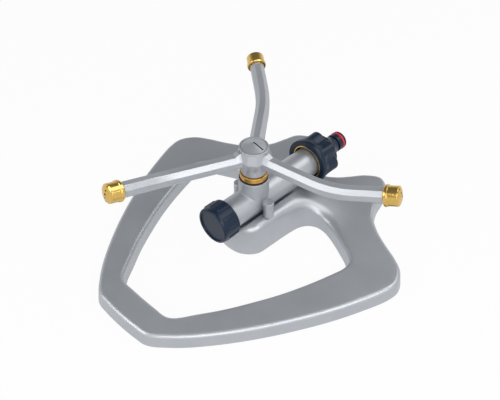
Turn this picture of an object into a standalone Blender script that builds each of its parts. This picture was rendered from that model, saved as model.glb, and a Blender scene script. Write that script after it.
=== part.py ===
"""Rotary lawn sprinkler: a cast base, a water tee with a hose inlet, and a three-armed rotor with brass nozzles.

Metres, +Z up, standing on z = 0. The nose of the base points along -Y and the hose inlet along +Y.
The origin is on the ground under the middle of the base; the rotor turns about the vertical line at y = AXIS_Y.
"""

import math

import bmesh
import bpy
from mathutils import Matrix, Vector, geometry

# Driving dimensions, in metres
GAP = 0.0003  # clearance kept between pieces that seat on each other

AXIS_Y = 0.01185  # rotor axis, ahead of the middle of the base
TUBE_Z = 0.0394  # height of the water tube's axis

BAR_HEIGHT = 0.0125  # thickness of the base's bars, wings and tail
BASE_WALL = 0.0026  # wall of the cast base, hollow from below
RIM_RADIUS = 0.0040  # rounding along the top edges of the bars
RIM_DRAFT = 0.0012  # the bars' sides lean in by this much
SHOULDER_HEIGHT = 0.0310  # top of the pedestal that carries the tee
SHOULDER_HALF = 0.0220  # the pedestal stays full height to this distance from the middle
SHOULDER_RIM = 0.0068  # rounding along the pedestal's top edge
WING_FALL = 0.0230  # how quickly the pedestal falls into the wings
TAIL_START = 0.0300  # the fall towards the tail starts this far behind the rotor axis
TAIL_FALL = 0.0300  # how quickly the pedestal falls into the tail
SHOULDER_FRONT = 0.0120  # the pedestal's front end starts to fall this far ahead of the rotor axis
FRONT_FALL = 0.0420  # how quickly it falls there
TROUGH_RADIUS = 0.0155  # channel in the pedestal under the tube

TUBE_RADIUS = 0.0132  # tee's tube, outside, towards the end cap
TUBE_BACK_RADIUS = 0.0136  # tee's tube, outside, towards the hose
TUBE_STEP = 0.0006  # length of the step between the two, in front of the collar
TUBE_BORE = 0.0098
TUBE_FRONT = 0.0452  # tube's front end, ahead of the rotor axis
TUBE_BACK = 0.0840  # tube's back end, behind the rotor axis
COLLAR_RADIUS = 0.0133  # tee's upright collar
COLLAR_TOP = 0.0650
COLLAR_BORE = 0.0090
BOSS_RADIUS = 0.0047  # screw bosses beside the tube
BOSS_X = 0.0182
BOSS_TOP = 0.0475
SCREW_RADIUS = 0.0020
SCREW_HEAD_RADIUS = 0.0033
SCREW_HEAD_HEIGHT = 0.0024
SCREW_SEAT = 0.0240  # underside of the casting's boss, where the screw's head seats
CASTING_BOSS = 0.0056  # radius of that boss, under the pedestal's top
SCREW_REACH = 0.0110  # how far a screw enters its boss

CAP_RADIUS = 0.0168  # end cap, outside of its skirt
CAP_LENGTH = 0.0215
CAP_FLOOR = 0.0030
CAP_GRIP = 0.0007  # height of the grip bars
CAP_GRIP_COUNT = 12
CAP_GRIP_WIDTH = 0.0022
WASHER_THICKNESS = 0.0016

MOUTH_START = 0.0695  # inlet adaptor's open end, behind the rotor axis
MOUTH_LENGTH = 0.0070
INSERT_WALL = 0.0030  # brass thread insert, outside of the tube's thread
MOUTH_BORE = TUBE_BACK_RADIUS + INSERT_WALL + GAP  # seat of the insert in the adaptor
MOUTH_RADIUS = MOUTH_BORE + 0.0047  # plastic round the insert
LOBE_COUNT = 6
LOBE_VALLEY = MOUTH_BORE + 0.0011  # plastic over the insert between the lobes
LOBE_RADIUS = LOBE_VALLEY + 0.0038
LOBE_END = 0.0960
NECK_RADIUS = 0.0066
NECK_START = 0.1040
NIPPLE_RADIUS = 0.0086
NIPPLE_BORE = 0.0050
NIPPLE_END = 0.1224
SEAL_RING_Y = 0.1160  # middle of the sealing ring on the nipple
SEAL_RING_WIRE = 0.0014
INSERT_LENGTH = 0.0135  # brass thread insert in the adaptor
INSERT_CHAMFER = 0.0014
FILTER_RADIUS = 0.0082

BEARING_RADIUS = 0.0121  # brass bearing nut over the collar
BEARING_TOP = 0.0712
BEARING_SPIGOT = 0.0130  # how far the bearing nut enters the collar
GASKET_THICKNESS = 0.0009
SPINDLE_RADIUS = 0.0050
SPINDLE_BORE = 0.0030
SPINDLE_CLEARANCE = 0.0001  # running clearance of the spindle in its bearing
SPINDLE_FLANGE = 0.0078
SPINDLE_FLANGE_HEIGHT = 0.0022
SPINDLE_TOP = 0.0815
THRUST_RADIUS = 0.0085  # washer between the bearing nut and the hub
THRUST_THICKNESS = 0.0010

ARM_COUNT = 3
ARM_TURN = math.radians(127.7)  # direction of the first arm, from +X
ARM_FLATS = 0.0125  # octagon across its flats
ARM_BORE = 0.0034
ARM_HUB_Z = 0.0861  # arm's centre line where it leaves the hub
ARM_BEND_R = 0.0767
ARM_BEND_Z = 0.0883
ARM_TIP_R = 0.1178
ARM_TIP_Z = 0.0990
ARM_TIP_LEAD = math.radians(5.5)  # the tip is ahead of the arm's root by this angle
ARM_BEND_ROUND = 0.0180  # the bend starts this far on each side of its corner

HUB_SIDES = 12
HUB_WAIST = 0.0155  # hub, across its corners at the widest
HUB_TOP_RADIUS = 0.0124
HUB_BOTTOM_RADIUS = 0.0122
HUB_TOP_Z = 0.0965
HUB_WAIST_Z = 0.0903
HUB_FACET_Z = 0.0790
HUB_CHAMBER = 0.0078  # water chamber in the hub
SKIRT_RADIUS = 0.0110
CAP_CONE_HEIGHT = 0.0042
CAP_RIM_HEIGHT = 0.0008
CAP_SPIGOT = 0.0038  # how far the hub's cap enters the chamber
SLOT_LENGTH = 0.0090  # slot in the hub's cap
SLOT_WIDTH = 0.0007
SLOT_DEPTH = 0.0008

NOZZLE_LENGTH = 0.0136
NOZZLE_RADIUS = 0.00815
NOZZLE_FLANGE = NOZZLE_RADIUS + 0.0007
NOZZLE_FLANGE_LENGTH = 0.0031
NOZZLE_EDGE = 0.00085  # chamfer between the barrel and the domed face
DOME_HEIGHT = 0.0030
NOZZLE_FACE = 0.0016  # thickness of the domed face
SPIGOT_RADIUS = 0.0055
SPIGOT_LENGTH = 0.0088
SEAL_SEAT = 0.0052  # sealing ring's place along the spigot
JET_RADII = (0.0005, 0.0006, 0.0009, 0.0006, 0.0005)
JET_PITCH = 0.0032
RING_WIRE = 0.00045  # half the thickness of the small sealing rings

ROUND_LARGE = 32  # facets round the tube and the caps
ROUND_SMALL = 20  # facets round the small turned pieces

# Outline of the base, right half, from the middle of the nose to the middle of the tail, seen from above.
# Each pair is a point on the outer edge and the point across the bar from it on the inner edge,
# both measured from the rotor axis.
BASE_STATIONS = (
    ((0.0000, -0.1545), (0.0000, -0.1264)),  # middle of the nose
    ((0.0180, -0.1538), (0.0140, -0.1262)),
    ((0.0315, -0.1515), (0.0255, -0.1256)),  # nose corner
    ((0.0450, -0.1408), (0.0325, -0.1208)),
    ((0.0590, -0.1262), (0.0410, -0.1075)),
    ((0.0760, -0.1043), (0.0530, -0.0885)),  # long side
    ((0.0920, -0.0803), (0.0640, -0.0675)),
    ((0.1067, -0.0549), (0.0740, -0.0460)),
    ((0.1205, -0.0277), (0.0818, -0.0255)),
    ((0.1315, -0.0010), (0.0875, -0.0075)),
    ((0.1380, 0.0185), (0.0910, 0.0050)),  # wing lobe
    ((0.1388, 0.0330), (0.0928, 0.0130)),
    ((0.1310, 0.0465), (0.0920, 0.0210)),  # corner of the opening
    ((0.1180, 0.0552), (0.0860, 0.0265)),
    ((0.1020, 0.0628), (0.0765, 0.0315)),
    ((0.0870, 0.0714), (0.0660, 0.0366)),
    ((0.0752, 0.0815), (0.0560, 0.0408)),  # flank behind the wing
    ((0.0675, 0.0945), (0.0470, 0.0432)),
    ((0.0635, 0.1080), (0.0385, 0.0427)),
    ((0.0585, 0.1225), (0.0318, 0.0385)),  # tail lobe
    ((0.0450, 0.1308), (0.0278, 0.0315)),
    ((0.0310, 0.1232), (0.0262, 0.0220)),
    ((0.0205, 0.1098), (0.0254, 0.0100)),
    ((0.0165, 0.1048), (0.0249, -0.0040)),
    ((0.0138, 0.1018), (0.0240, -0.0165)),  # pedestal corner
    ((0.0110, 0.0993), (0.0195, -0.0240)),
    ((0.0080, 0.0969), (0.0142, -0.0282)),
    ((0.0050, 0.0951), (0.0085, -0.0306)),
    ((0.0000, 0.0942), (0.0000, -0.0315)),  # pedestal tip and tail notch
)

SILVER = (0.42, 0.44, 0.48)
NAVY = (0.018, 0.030, 0.060)
BRASS = (0.80, 0.52, 0.16)


def clear_scene():
    for thing in list(bpy.data.objects):
        bpy.data.objects.remove(thing, do_unlink=True)


def new_collection(name):
    collection = bpy.data.collections.new(name)
    bpy.context.scene.collection.children.link(collection)
    return collection


def finish(name, color, metallic, roughness):
    material = bpy.data.materials.new(name)
    material.use_nodes = True
    shader = material.node_tree.nodes["Principled BSDF"]
    shader.inputs["Base Color"].default_value = (*color, 1.0)
    shader.inputs["Metallic"].default_value = metallic
    shader.inputs["Roughness"].default_value = roughness
    material.diffuse_color = (*color, 1.0)
    return material


def mesh_object(name, bm, collection, material=None, parent=None):
    """An object from a bmesh, linked to a collection, given its material and hung on its parent's frame."""
    mesh = bpy.data.meshes.new(name)
    bm.to_mesh(mesh)
    bm.free()
    thing = bpy.data.objects.new(name, mesh)
    collection.objects.link(thing)
    if material:
        mesh.materials.append(material)
    thing.parent = parent
    return thing


def as_helper(thing):
    thing.hide_render = True
    thing.display_type = "WIRE"
    return thing


def frame_empty(name, location, direction=(0, 0, 1), up=(0, 0, 1)):
    """An empty whose +Z runs along direction, and whose +X is as near to up as it can be."""
    empty = bpy.data.objects.new(name, None)
    PARTS.objects.link(empty)
    z_axis = Vector(direction).normalized()
    x_axis = Vector(up) - Vector(up).dot(z_axis) * z_axis
    if x_axis.length < 1e-6:
        x_axis = Vector((1, 0, 0))
    x_axis.normalize()
    y_axis = z_axis.cross(x_axis)
    turn = Matrix((x_axis, y_axis, z_axis)).transposed()
    empty.rotation_euler = turn.to_euler()
    empty.location = location
    return empty


def turned(name, outline, sides, collection, material=None, parent=None, closed=True):
    """A turned piece: an outline of (radius, height) pairs, outer side from top to bottom, screwed round Z."""
    bm = bmesh.new()
    ring = [bm.verts.new((radius, 0, height)) for radius, height in outline]
    pairs = list(zip(ring, ring[1:]))
    if closed:
        pairs.append((ring[-1], ring[0]))
    for pair in pairs:
        bm.edges.new(pair)
    thing = mesh_object(name, bm, collection, material, parent)
    screw = thing.modifiers.new("turn", "SCREW")
    screw.axis = "Z"
    screw.steps = sides
    screw.render_steps = sides
    screw.use_merge_vertices = True
    screw.merge_threshold = 0.00001
    return thing


def ring_outline(outer, inner, low, high):
    return [(outer, high), (outer, low), (inner, low), (inner, high)]


def rod(name, radius, low, high, sides, collection, material=None, parent=None):
    """A solid round bar along its parent's Z."""
    bm = bmesh.new()
    bmesh.ops.create_cone(
        bm,
        cap_ends=True,
        segments=sides,
        radius1=radius,
        radius2=radius,
        depth=high - low,
        matrix=Matrix.Translation((0, 0, (low + high) / 2)),
    )
    return mesh_object(name, bm, collection, material, parent)


def combine(thing, other, operation):
    step = thing.modifiers.new(operation.lower() + "_" + other.name, "BOOLEAN")
    step.operation = operation
    step.object = other
    step.solver = "EXACT"


def join(thing, other):
    combine(thing, as_helper(other), "UNION")


def cut(thing, other):
    combine(thing, as_helper(other), "DIFFERENCE")


def smooth(thing, angle=math.radians(35)):
    thing.data.shade_smooth()
    thing.data.set_sharp_from_angle(angle=angle)


def smooth_through(points, per_span):
    """Points along a smooth curve through the given ones, by the Catmull-Rom formula with mirrored ends."""
    first, last = points[0], points[-1]
    before = Vector((-points[1][0], points[1][1]))
    after = Vector((-points[-2][0], points[-2][1]))
    line = [before, *[Vector(point) for point in points], after]
    path = []
    for index in range(1, len(line) - 2):
        p0, p1, p2, p3 = line[index - 1 : index + 3]
        for step in range(per_span):
            t = step / per_span
            path.append(
                0.5
                * (
                    2 * p1
                    + (p2 - p0) * t
                    + (2 * p0 - 5 * p1 + 4 * p2 - p3) * t * t
                    + (3 * p1 - p0 - 3 * p2 + p3) * t * t * t
                )
            )
    path.append(Vector(last))
    path[0] = Vector(first)
    return path


def whole_outline(half):
    """The right half of an outline with its mirror image after it, as one closed ring."""
    left = [Vector((-point.x, point.y)) for point in reversed(half[1:-1])]
    return half + left


def edge_normals(ring, side):
    """Unit vectors across a closed outline, to its left for side 1 and to its right for side -1."""
    count = len(ring)
    normals = []
    for index in range(count):
        along = (ring[(index + 1) % count] - ring[index - 1]).normalized()
        normals.append(Vector((-along.y, along.x)) * side)
    return normals


def swell(x, y):
    """1 on the pedestal, falling smoothly to 0 over the wings and the tail, and a little lower at the front."""
    aside = max(abs(x) - SHOULDER_HALF, 0.0) / WING_FALL
    behind = max(y - TAIL_START, 0.0) / TAIL_FALL
    ahead = max(-y - SHOULDER_FRONT, 0.0) / FRONT_FALL
    return math.exp(-aside * aside - behind * behind - ahead * ahead)


def base_top(x, y):
    """Height of the base's top face."""
    return BAR_HEIGHT + (SHOULDER_HEIGHT - BAR_HEIGHT) * swell(x, y)


def base_side(edge, inward, inset, foot, rim_steps):
    """Points up one side of the base and round onto its top, the whole side moved in by inset."""
    points = [Vector((*(edge + inward * inset), foot))]
    radius = RIM_RADIUS + (SHOULDER_RIM - RIM_RADIUS) * swell(edge.x, edge.y) - inset
    for step in range(rim_steps + 1):
        turn = math.pi / 2 * step / rim_steps
        place = edge + inward * (inset + RIM_DRAFT + radius * (1 - math.cos(turn)))
        height = base_top(place.x, place.y) - inset - radius * (1 - math.sin(turn))
        points.append(Vector((*place, height)))
    return points


def inside(place, ring):
    """Whether a point seen from above is inside a closed ring of vertices."""
    crossings = 0
    for here, there in zip(ring, ring[1:] + ring[:1]):
        if (here.co.y > place.y) != (there.co.y > place.y):
            share = (place.y - here.co.y) / (there.co.y - here.co.y)
            crossings += here.co.x + share * (there.co.x - here.co.x) > place.x
    return crossings % 2 == 1


def fill_between(bm, rings, extra, inset, upward):
    """Triangles between an outer and an inner ring; the extra points take the top face's height."""
    corners = [vert for ring in rings for vert in ring]
    flat = [vert.co.xy for vert in corners] + extra
    edges = []
    start = 0
    for ring in rings:
        count = len(ring)
        edges.extend((start + index, start + (index + 1) % count) for index in range(count))
        start += count
    found = geometry.delaunay_2d_cdt(flat, edges, [], 2, 0.0000001)
    verts = []
    for place, source in zip(found[0], found[3]):
        if source[0] < len(corners):
            verts.append(corners[source[0]])
        else:
            verts.append(bm.verts.new((*place, base_top(*place) - inset)))
    for face in found[2]:
        middle = sum((found[0][index] for index in face), Vector((0, 0))) / len(face)
        if not inside(middle, rings[1]):
            loop = [verts[index] for index in face]
            bm.faces.new(loop if upward else loop[::-1])


def base_form(name, inset, foot, rim_steps, per_span, pitch):
    """The base's outer form, or the form of its hollow: both outlines moved in, the top moved down."""
    bm = bmesh.new()
    feet, brinks, walls = [], [], []
    for side, pick in ((1, 0), (-1, 1)):
        ring = whole_outline(smooth_through([pair[pick] for pair in BASE_STATIONS], per_span))
        inward = edge_normals(ring, side)
        rows = []
        for edge, across in zip(ring, inward):
            points = base_side(edge, across, inset, foot, rim_steps)
            walls.append((points[-1].xy, across))
            rows.append([bm.verts.new(point) for point in points])
        for row, after in zip(rows, rows[1:] + rows[:1]):
            for near, far in zip(range(len(row) - 1), range(1, len(row))):
                loop = (row[near], after[near], after[far], row[far])
                bm.faces.new(loop if side > 0 else loop[::-1])
        feet.append([row[0] for row in rows])
        brinks.append([row[-1] for row in rows])
    extra = []
    for across in range(-7, 8):
        for along in range(-3, 9):
            place = Vector((across * pitch, along * pitch))
            near = min(walls, key=lambda wall: (wall[0] - place).length)
            if (place - near[0]).dot(near[1]) > pitch / 3:
                extra.append(place)
    fill_between(bm, brinks, extra, inset, True)
    fill_between(bm, feet, [], inset, False)
    return mesh_object(name, bm, PARTS, PAINT, SPIN_AXIS)


def trough(name, radius, back=0.150):
    """A bar along the tube, as a cutter for the channel that the tube lies in."""
    return rod(name, radius, -0.080, back, 48, CUTTERS, parent=TUBE_AXIS)


def make_base():
    """The cast base: one shell, open below, with the big opening and the channel under the tube."""
    base = base_form("base_casting", 0.0, 0.0, 2, 2, 0.0105)
    smooth(base)
    cap_back = CAP_LENGTH - TUBE_FRONT - WASHER_THICKNESS - CAP_FLOOR - 2 * GAP
    cut(base, trough("channel", TROUGH_RADIUS))
    cut(base, trough("cap_relief", CAP_RADIUS + CAP_GRIP + 2 * GAP, cap_back + 2 * GAP))
    hollow = base_form("base_hollow", BASE_WALL, -0.001, 2, 1, 0.0135)
    PARTS.objects.unlink(hollow)
    CUTTERS.objects.link(hollow)
    cut(hollow, trough("channel_wall", TROUGH_RADIUS + BASE_WALL))
    relief_wall = CAP_RADIUS + CAP_GRIP + 2 * GAP + BASE_WALL
    cut(hollow, trough("cap_relief_wall", relief_wall, cap_back + 2 * GAP + BASE_WALL))
    for side, name in ((1, "right"), (-1, "left")):
        boss = rod("casting_boss_" + name, CASTING_BOSS, SCREW_SEAT, SHOULDER_HEIGHT, 16, CUTTERS)
        boss.parent = SPIN_AXIS
        boss.location.x = side * BOSS_X
        cut(hollow, boss)
    cut(base, hollow)
    for side, name in ((1, "right"), (-1, "left")):
        hole = turned(
            "screw_hole_" + name,
            [
                (0.0, SHOULDER_HEIGHT + BASE_WALL),
                (SCREW_RADIUS + GAP, SHOULDER_HEIGHT + BASE_WALL),
                (SCREW_RADIUS + GAP, SCREW_SEAT),
                (SCREW_HEAD_RADIUS + GAP, SCREW_SEAT),
                (SCREW_HEAD_RADIUS + GAP, 0.0),
                (0.0, 0.0),
            ],
            16,
            CUTTERS,
            parent=SPIN_AXIS,
            closed=False,
        )
        hole.location.x = side * BOSS_X
        cut(base, hole)


def make_tee():
    """The water tee: a tube along the base, an upright collar over it and a screw boss on each side."""
    tee = turned(
        "tee_body",
        [
            (0.0, TUBE_BACK),
            (TUBE_BACK_RADIUS, TUBE_BACK),
            (TUBE_BACK_RADIUS, -COLLAR_RADIUS),
            (TUBE_RADIUS, -COLLAR_RADIUS - TUBE_STEP),
            (TUBE_RADIUS, -TUBE_FRONT),
            (0.0, -TUBE_FRONT),
        ],
        ROUND_LARGE,
        PARTS,
        PAINT,
        TUBE_AXIS,
        closed=False,
    )
    smooth(tee)
    collar = rod("tee_collar", COLLAR_RADIUS, TUBE_Z, COLLAR_TOP, ROUND_LARGE, CUTTERS, parent=SPIN_AXIS)
    join(tee, collar)
    boss_foot = SHOULDER_HEIGHT + GAP
    for side, name in ((1, "right"), (-1, "left")):
        boss = rod("boss_" + name, BOSS_RADIUS, boss_foot, BOSS_TOP, ROUND_SMALL, CUTTERS, parent=SPIN_AXIS)
        boss.location.x = side * BOSS_X
        join(tee, boss)
        web = bmesh.new()
        bmesh.ops.create_cube(web, size=1.0)
        bmesh.ops.scale(web, vec=(BOSS_X, BOSS_RADIUS, BOSS_TOP - TUBE_Z), verts=web.verts)
        web = mesh_object("boss_web_" + name, web, CUTTERS, parent=SPIN_AXIS)
        web.location = (side * BOSS_X / 2, 0, (BOSS_TOP + TUBE_Z) / 2 - GAP)
        join(tee, web)
    bore = rod("tube_bore", TUBE_BORE, -TUBE_FRONT - 0.001, TUBE_BACK + 0.001, 24, CUTTERS, parent=TUBE_AXIS)
    cut(tee, bore)
    well = rod("collar_bore", COLLAR_BORE, TUBE_Z, COLLAR_TOP + 0.001, 24, CUTTERS, parent=SPIN_AXIS)
    cut(tee, well)
    for side, name in ((1, "right"), (-1, "left")):
        pilot = rod(
            "pilot_" + name,
            SCREW_RADIUS + GAP,
            boss_foot - 0.001,
            boss_foot + SCREW_REACH + 0.001,
            12,
            CUTTERS,
            parent=SPIN_AXIS,
        )
        pilot.location.x = side * BOSS_X
        cut(tee, pilot)
    return tee


def make_base_screws():
    """Two screws from under the base into the tee's bosses."""
    seat = SCREW_SEAT - GAP
    tip = SHOULDER_HEIGHT + GAP + SCREW_REACH
    for side, name in ((1, "right"), (-1, "left")):
        outline = [
            (0.0, tip),
            (SCREW_RADIUS * 0.5, tip),
            (SCREW_RADIUS, tip - SCREW_RADIUS),
            (SCREW_RADIUS, seat),
            (SCREW_HEAD_RADIUS, seat),
            (SCREW_HEAD_RADIUS * 0.85, seat - SCREW_HEAD_HEIGHT),
            (0.0, seat - SCREW_HEAD_HEIGHT),
        ]
        screw = turned("base_screw_" + name, outline, 12, PARTS, STEEL, SPIN_AXIS, closed=False)
        screw.location.x = side * BOSS_X
        smooth(screw)


def make_end_cap():
    """The screw cap on the tube's nose end, with grip bars and a rimmed face, and the rubber washer in it."""
    washer_back = -TUBE_FRONT - GAP
    floor = washer_back - WASHER_THICKNESS - GAP
    face = floor - CAP_FLOOR
    back = face + CAP_LENGTH
    bore = TUBE_RADIUS + GAP
    edge = 0.0018
    sunk = 0.0008
    outline = [
        (0.0, floor),
        (bore, floor),
        (bore, back),
        (CAP_RADIUS - edge / 3, back),
        (CAP_RADIUS, back - edge / 3),
        (CAP_RADIUS, face + edge),
        (CAP_RADIUS - edge * 0.3, face + edge * 0.3),
        (CAP_RADIUS - edge, face),
        (CAP_RADIUS - edge * 1.8, face),
        (CAP_RADIUS - edge * 2.2, face + sunk),
        (0.0, face + sunk),
    ]
    cap = turned("end_cap", outline, ROUND_LARGE, PARTS, PLASTIC, CAP_AXIS, closed=False)
    smooth(cap)
    bars = bmesh.new()
    for index in range(CAP_GRIP_COUNT):
        turn = Matrix.Rotation(2 * math.pi * index / CAP_GRIP_COUNT, 4, "Z")
        size = Matrix.Diagonal((4 * CAP_GRIP, CAP_GRIP_WIDTH, CAP_LENGTH * 0.64, 1.0))
        place = Matrix.Translation((CAP_RADIUS - CAP_GRIP, 0, face + CAP_LENGTH * 0.56))
        bmesh.ops.create_cube(bars, size=1.0, matrix=turn @ place @ size)
    join(cap, mesh_object("end_cap_bars", bars, CUTTERS, parent=CAP_AXIS))
    outline = ring_outline(TUBE_RADIUS, TUBE_BORE, washer_back - WASHER_THICKNESS, washer_back)
    smooth(turned("end_cap_washer", outline, ROUND_LARGE, PARTS, RUBBER, CAP_AXIS))


def lobed_radius(turn, depth):
    """Radius of the inlet adaptor's outside: round at the mouth, six-lobed behind it, a plain cone at the end."""
    wave = 0.5 + 0.5 * math.cos(LOBE_COUNT * turn)
    return depth * (1.0 - (1.0 - LOBE_VALLEY / LOBE_RADIUS) * (1.0 - wave**0.5))


def make_inlet():
    """The inlet adaptor: lobed plastic nut with its hose nipple, brass thread insert, washer, filter and ring."""
    mouth_end = MOUTH_START + MOUTH_LENGTH
    stem = NECK_START + 0.0034
    barrel = stem + 0.0030
    # Each station is a distance along the tube, a radius and whether the lobes show there
    stations = (
        (MOUTH_START, MOUTH_RADIUS - 0.0010, False),
        (MOUTH_START + 0.0010, MOUTH_RADIUS, False),
        (mouth_end - 0.0008, MOUTH_RADIUS, False),
        (mouth_end, MOUTH_RADIUS - 0.0008, False),
        (mouth_end + 0.0006, LOBE_RADIUS - 0.0006, True),
        (LOBE_END - 0.0014, LOBE_RADIUS - 0.0008, True),
        (LOBE_END, LOBE_RADIUS - 0.0028, True),
        (NECK_START, NIPPLE_RADIUS + 0.0012, False),
        (NECK_START + 0.0004, NIPPLE_RADIUS, False),
        (stem, NIPPLE_RADIUS, False),
        (stem, NECK_RADIUS, False),
        (barrel, NECK_RADIUS, False),
        (barrel + 0.0006, NIPPLE_RADIUS, False),
        (SEAL_RING_Y - SEAL_RING_WIRE, NIPPLE_RADIUS, False),
        (SEAL_RING_Y - SEAL_RING_WIRE, NIPPLE_RADIUS - 1.6 * SEAL_RING_WIRE, False),
        (SEAL_RING_Y + SEAL_RING_WIRE, NIPPLE_RADIUS - 1.6 * SEAL_RING_WIRE, False),
        (SEAL_RING_Y + SEAL_RING_WIRE, NIPPLE_RADIUS, False),
        (NIPPLE_END - 0.0012, NIPPLE_RADIUS, False),
        (NIPPLE_END, NIPPLE_RADIUS - 0.0012, False),
    )
    sides = LOBE_COUNT * 6
    bm = bmesh.new()
    rings = []
    for along, radius, lobed in stations:
        ring = []
        for index in range(sides):
            turn = 2 * math.pi * index / sides
            reach = lobed_radius(turn, radius) if lobed else radius
            ring.append(bm.verts.new((reach * math.cos(turn), reach * math.sin(turn), along)))
        rings.append(ring)
    for ring, after in zip(rings, rings[1:]):
        for index in range(sides):
            beside = (index + 1) % sides
            bm.faces.new((ring[index], ring[beside], after[beside], after[index]))
    bm.faces.new(reversed(rings[0]))
    bm.faces.new(rings[-1])
    adaptor = mesh_object("inlet_adaptor", bm, PARTS, PLASTIC, INLET_AXIS)
    smooth(adaptor)

    insert_start = MOUTH_START + 2 * GAP
    insert_end = insert_start + INSERT_LENGTH
    washer_start = TUBE_BACK + GAP
    washer_end = washer_start + WASHER_THICKNESS
    filter_floor = washer_end + GAP
    rim = 0.0009
    seat = TUBE_BACK_RADIUS + GAP
    cavity_end = filter_floor + rim + GAP
    hollow = [
        (0.0, NIPPLE_END + 0.001),
        (NIPPLE_BORE, NIPPLE_END + 0.001),
        (NIPPLE_BORE, LOBE_END + 0.002),
        (FILTER_RADIUS + 3 * GAP, LOBE_END - 0.001),
        (FILTER_RADIUS + 3 * GAP, cavity_end),
        (seat, cavity_end),
        (seat, insert_end + GAP),
        (MOUTH_BORE, insert_end + GAP),
        (MOUTH_BORE, MOUTH_START - 0.001),
        (0.0, MOUTH_START - 0.001),
    ]
    cut(adaptor, turned("inlet_hollow", hollow, ROUND_LARGE, CUTTERS, parent=INLET_AXIS, closed=False))

    outer = MOUTH_BORE - GAP
    insert = [
        (outer, insert_end),
        (outer, insert_start),
        (seat + INSERT_CHAMFER, insert_start),
        (seat, insert_start + INSERT_CHAMFER),
        (seat, insert_end),
    ]
    smooth(turned("thread_insert", insert, ROUND_LARGE, PARTS, YELLOW_METAL, INLET_AXIS))

    washer = ring_outline(TUBE_BACK_RADIUS, TUBE_BORE, washer_start, washer_end)
    smooth(turned("inlet_washer", washer, ROUND_LARGE, PARTS, RUBBER, INLET_AXIS))

    wall = 0.0007
    tip = LOBE_END - 0.0030
    cup = [
        (0.0, tip),
        (FILTER_RADIUS * 0.8, tip),
        (FILTER_RADIUS, tip - FILTER_RADIUS * 0.2),
        (FILTER_RADIUS, filter_floor + rim),
        (TUBE_BACK_RADIUS, filter_floor + rim),
        (TUBE_BACK_RADIUS, filter_floor),
        (FILTER_RADIUS - wall, filter_floor),
        (FILTER_RADIUS - wall, tip - FILTER_RADIUS * 0.2),
        (FILTER_RADIUS * 0.8 - wall, tip - wall),
        (0.0, tip - wall),
    ]
    strainer = turned("inlet_filter", cup, 24, PARTS, PALE_PLASTIC, INLET_AXIS, closed=False)
    smooth(strainer)
    windows = bmesh.new()
    middle = (filter_floor + rim + tip - FILTER_RADIUS * 0.2) / 2
    for index in range(8):
        turn = Matrix.Rotation(2 * math.pi * (index + 0.5) / 8, 4, "Z")
        place = Matrix.Translation((FILTER_RADIUS, 0, middle))
        size = Matrix.Diagonal((0.004, 0.0030, 0.0040, 1.0))
        bmesh.ops.create_cube(windows, size=1.0, matrix=turn @ place @ size)
    cut(strainer, mesh_object("filter_windows", windows, CUTTERS, parent=INLET_AXIS))

    inside = NIPPLE_RADIUS - 1.6 * SEAL_RING_WIRE + GAP
    smooth(round_ring("nipple_seal_ring", inside, SEAL_RING_WIRE - GAP, SEAL_RING_Y, 32, RED, INLET_AXIS))


def round_ring(name, inner, wire, height, sides, material, parent):
    """A sealing ring of round section, given by its inner radius and half its thickness."""
    points = []
    for index in range(6):
        turn = 2 * math.pi * (index + 0.5) / 6
        points.append((inner + wire + wire * math.cos(turn), height - wire * math.sin(turn)))
    return turned(name, points, sides, PARTS, material, parent)


def make_bearing():
    """The brass nut in the tee's collar that carries the rotor, with its gasket, washers, spindle and seal."""
    nut_low = COLLAR_TOP + GAP + GASKET_THICKNESS + GAP
    spigot_end = COLLAR_TOP - BEARING_SPIGOT
    spigot = COLLAR_BORE - GAP
    bore = SPINDLE_RADIUS + SPINDLE_CLEARANCE
    seal_z = spigot_end + 0.0060
    groove = bore + 2.1 * RING_WIRE + 2 * GAP
    outline = [
        (BEARING_RADIUS - 0.0006, BEARING_TOP),
        (BEARING_RADIUS, BEARING_TOP - 0.0006),
        (BEARING_RADIUS, nut_low),
        (spigot, nut_low),
        (spigot, spigot_end),
        (bore, spigot_end),
        (bore, seal_z - RING_WIRE - GAP),
        (groove, seal_z - RING_WIRE - GAP),
        (groove, seal_z + RING_WIRE + GAP),
        (bore, seal_z + RING_WIRE + GAP),
        (bore, BEARING_TOP),
    ]
    smooth(turned("bearing_nut", outline, 24, PARTS, YELLOW_METAL, SPIN_AXIS))
    smooth(round_ring("spindle_seal", bore + GAP / 2, RING_WIRE, seal_z, 24, RUBBER, SPIN_AXIS))

    gasket = ring_outline(BEARING_RADIUS + 0.0005, COLLAR_BORE, COLLAR_TOP + GAP, nut_low - GAP)
    smooth(turned("bearing_gasket", gasket, 24, PARTS, RUBBER, SPIN_AXIS))

    washer_top = spigot_end - GAP
    washer_low = washer_top - 0.0010
    lower = ring_outline(SPINDLE_FLANGE, bore + GAP, washer_low, washer_top)
    smooth(turned("lower_thrust_washer", lower, 24, PARTS, PALE_PLASTIC, SPIN_AXIS))

    upper = ring_outline(THRUST_RADIUS, bore + GAP, BEARING_TOP + GAP, BEARING_TOP + GAP + THRUST_THICKNESS)
    smooth(turned("upper_thrust_washer", upper, 24, PARTS, PALE_PLASTIC, SPIN_AXIS))

    flange_top = washer_low - GAP
    flange_low = flange_top - SPINDLE_FLANGE_HEIGHT
    spindle = [
        (SPINDLE_RADIUS, SPINDLE_TOP),
        (SPINDLE_RADIUS, flange_top),
        (SPINDLE_FLANGE, flange_top),
        (SPINDLE_FLANGE, flange_low),
        (SPINDLE_BORE, flange_low),
        (SPINDLE_BORE, SPINDLE_TOP),
    ]
    smooth(turned("spindle", spindle, 24, PARTS, YELLOW_METAL, SPIN_AXIS))


def arm_direction(turn):
    return Vector((math.cos(turn), math.sin(turn), 0.0))


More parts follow.
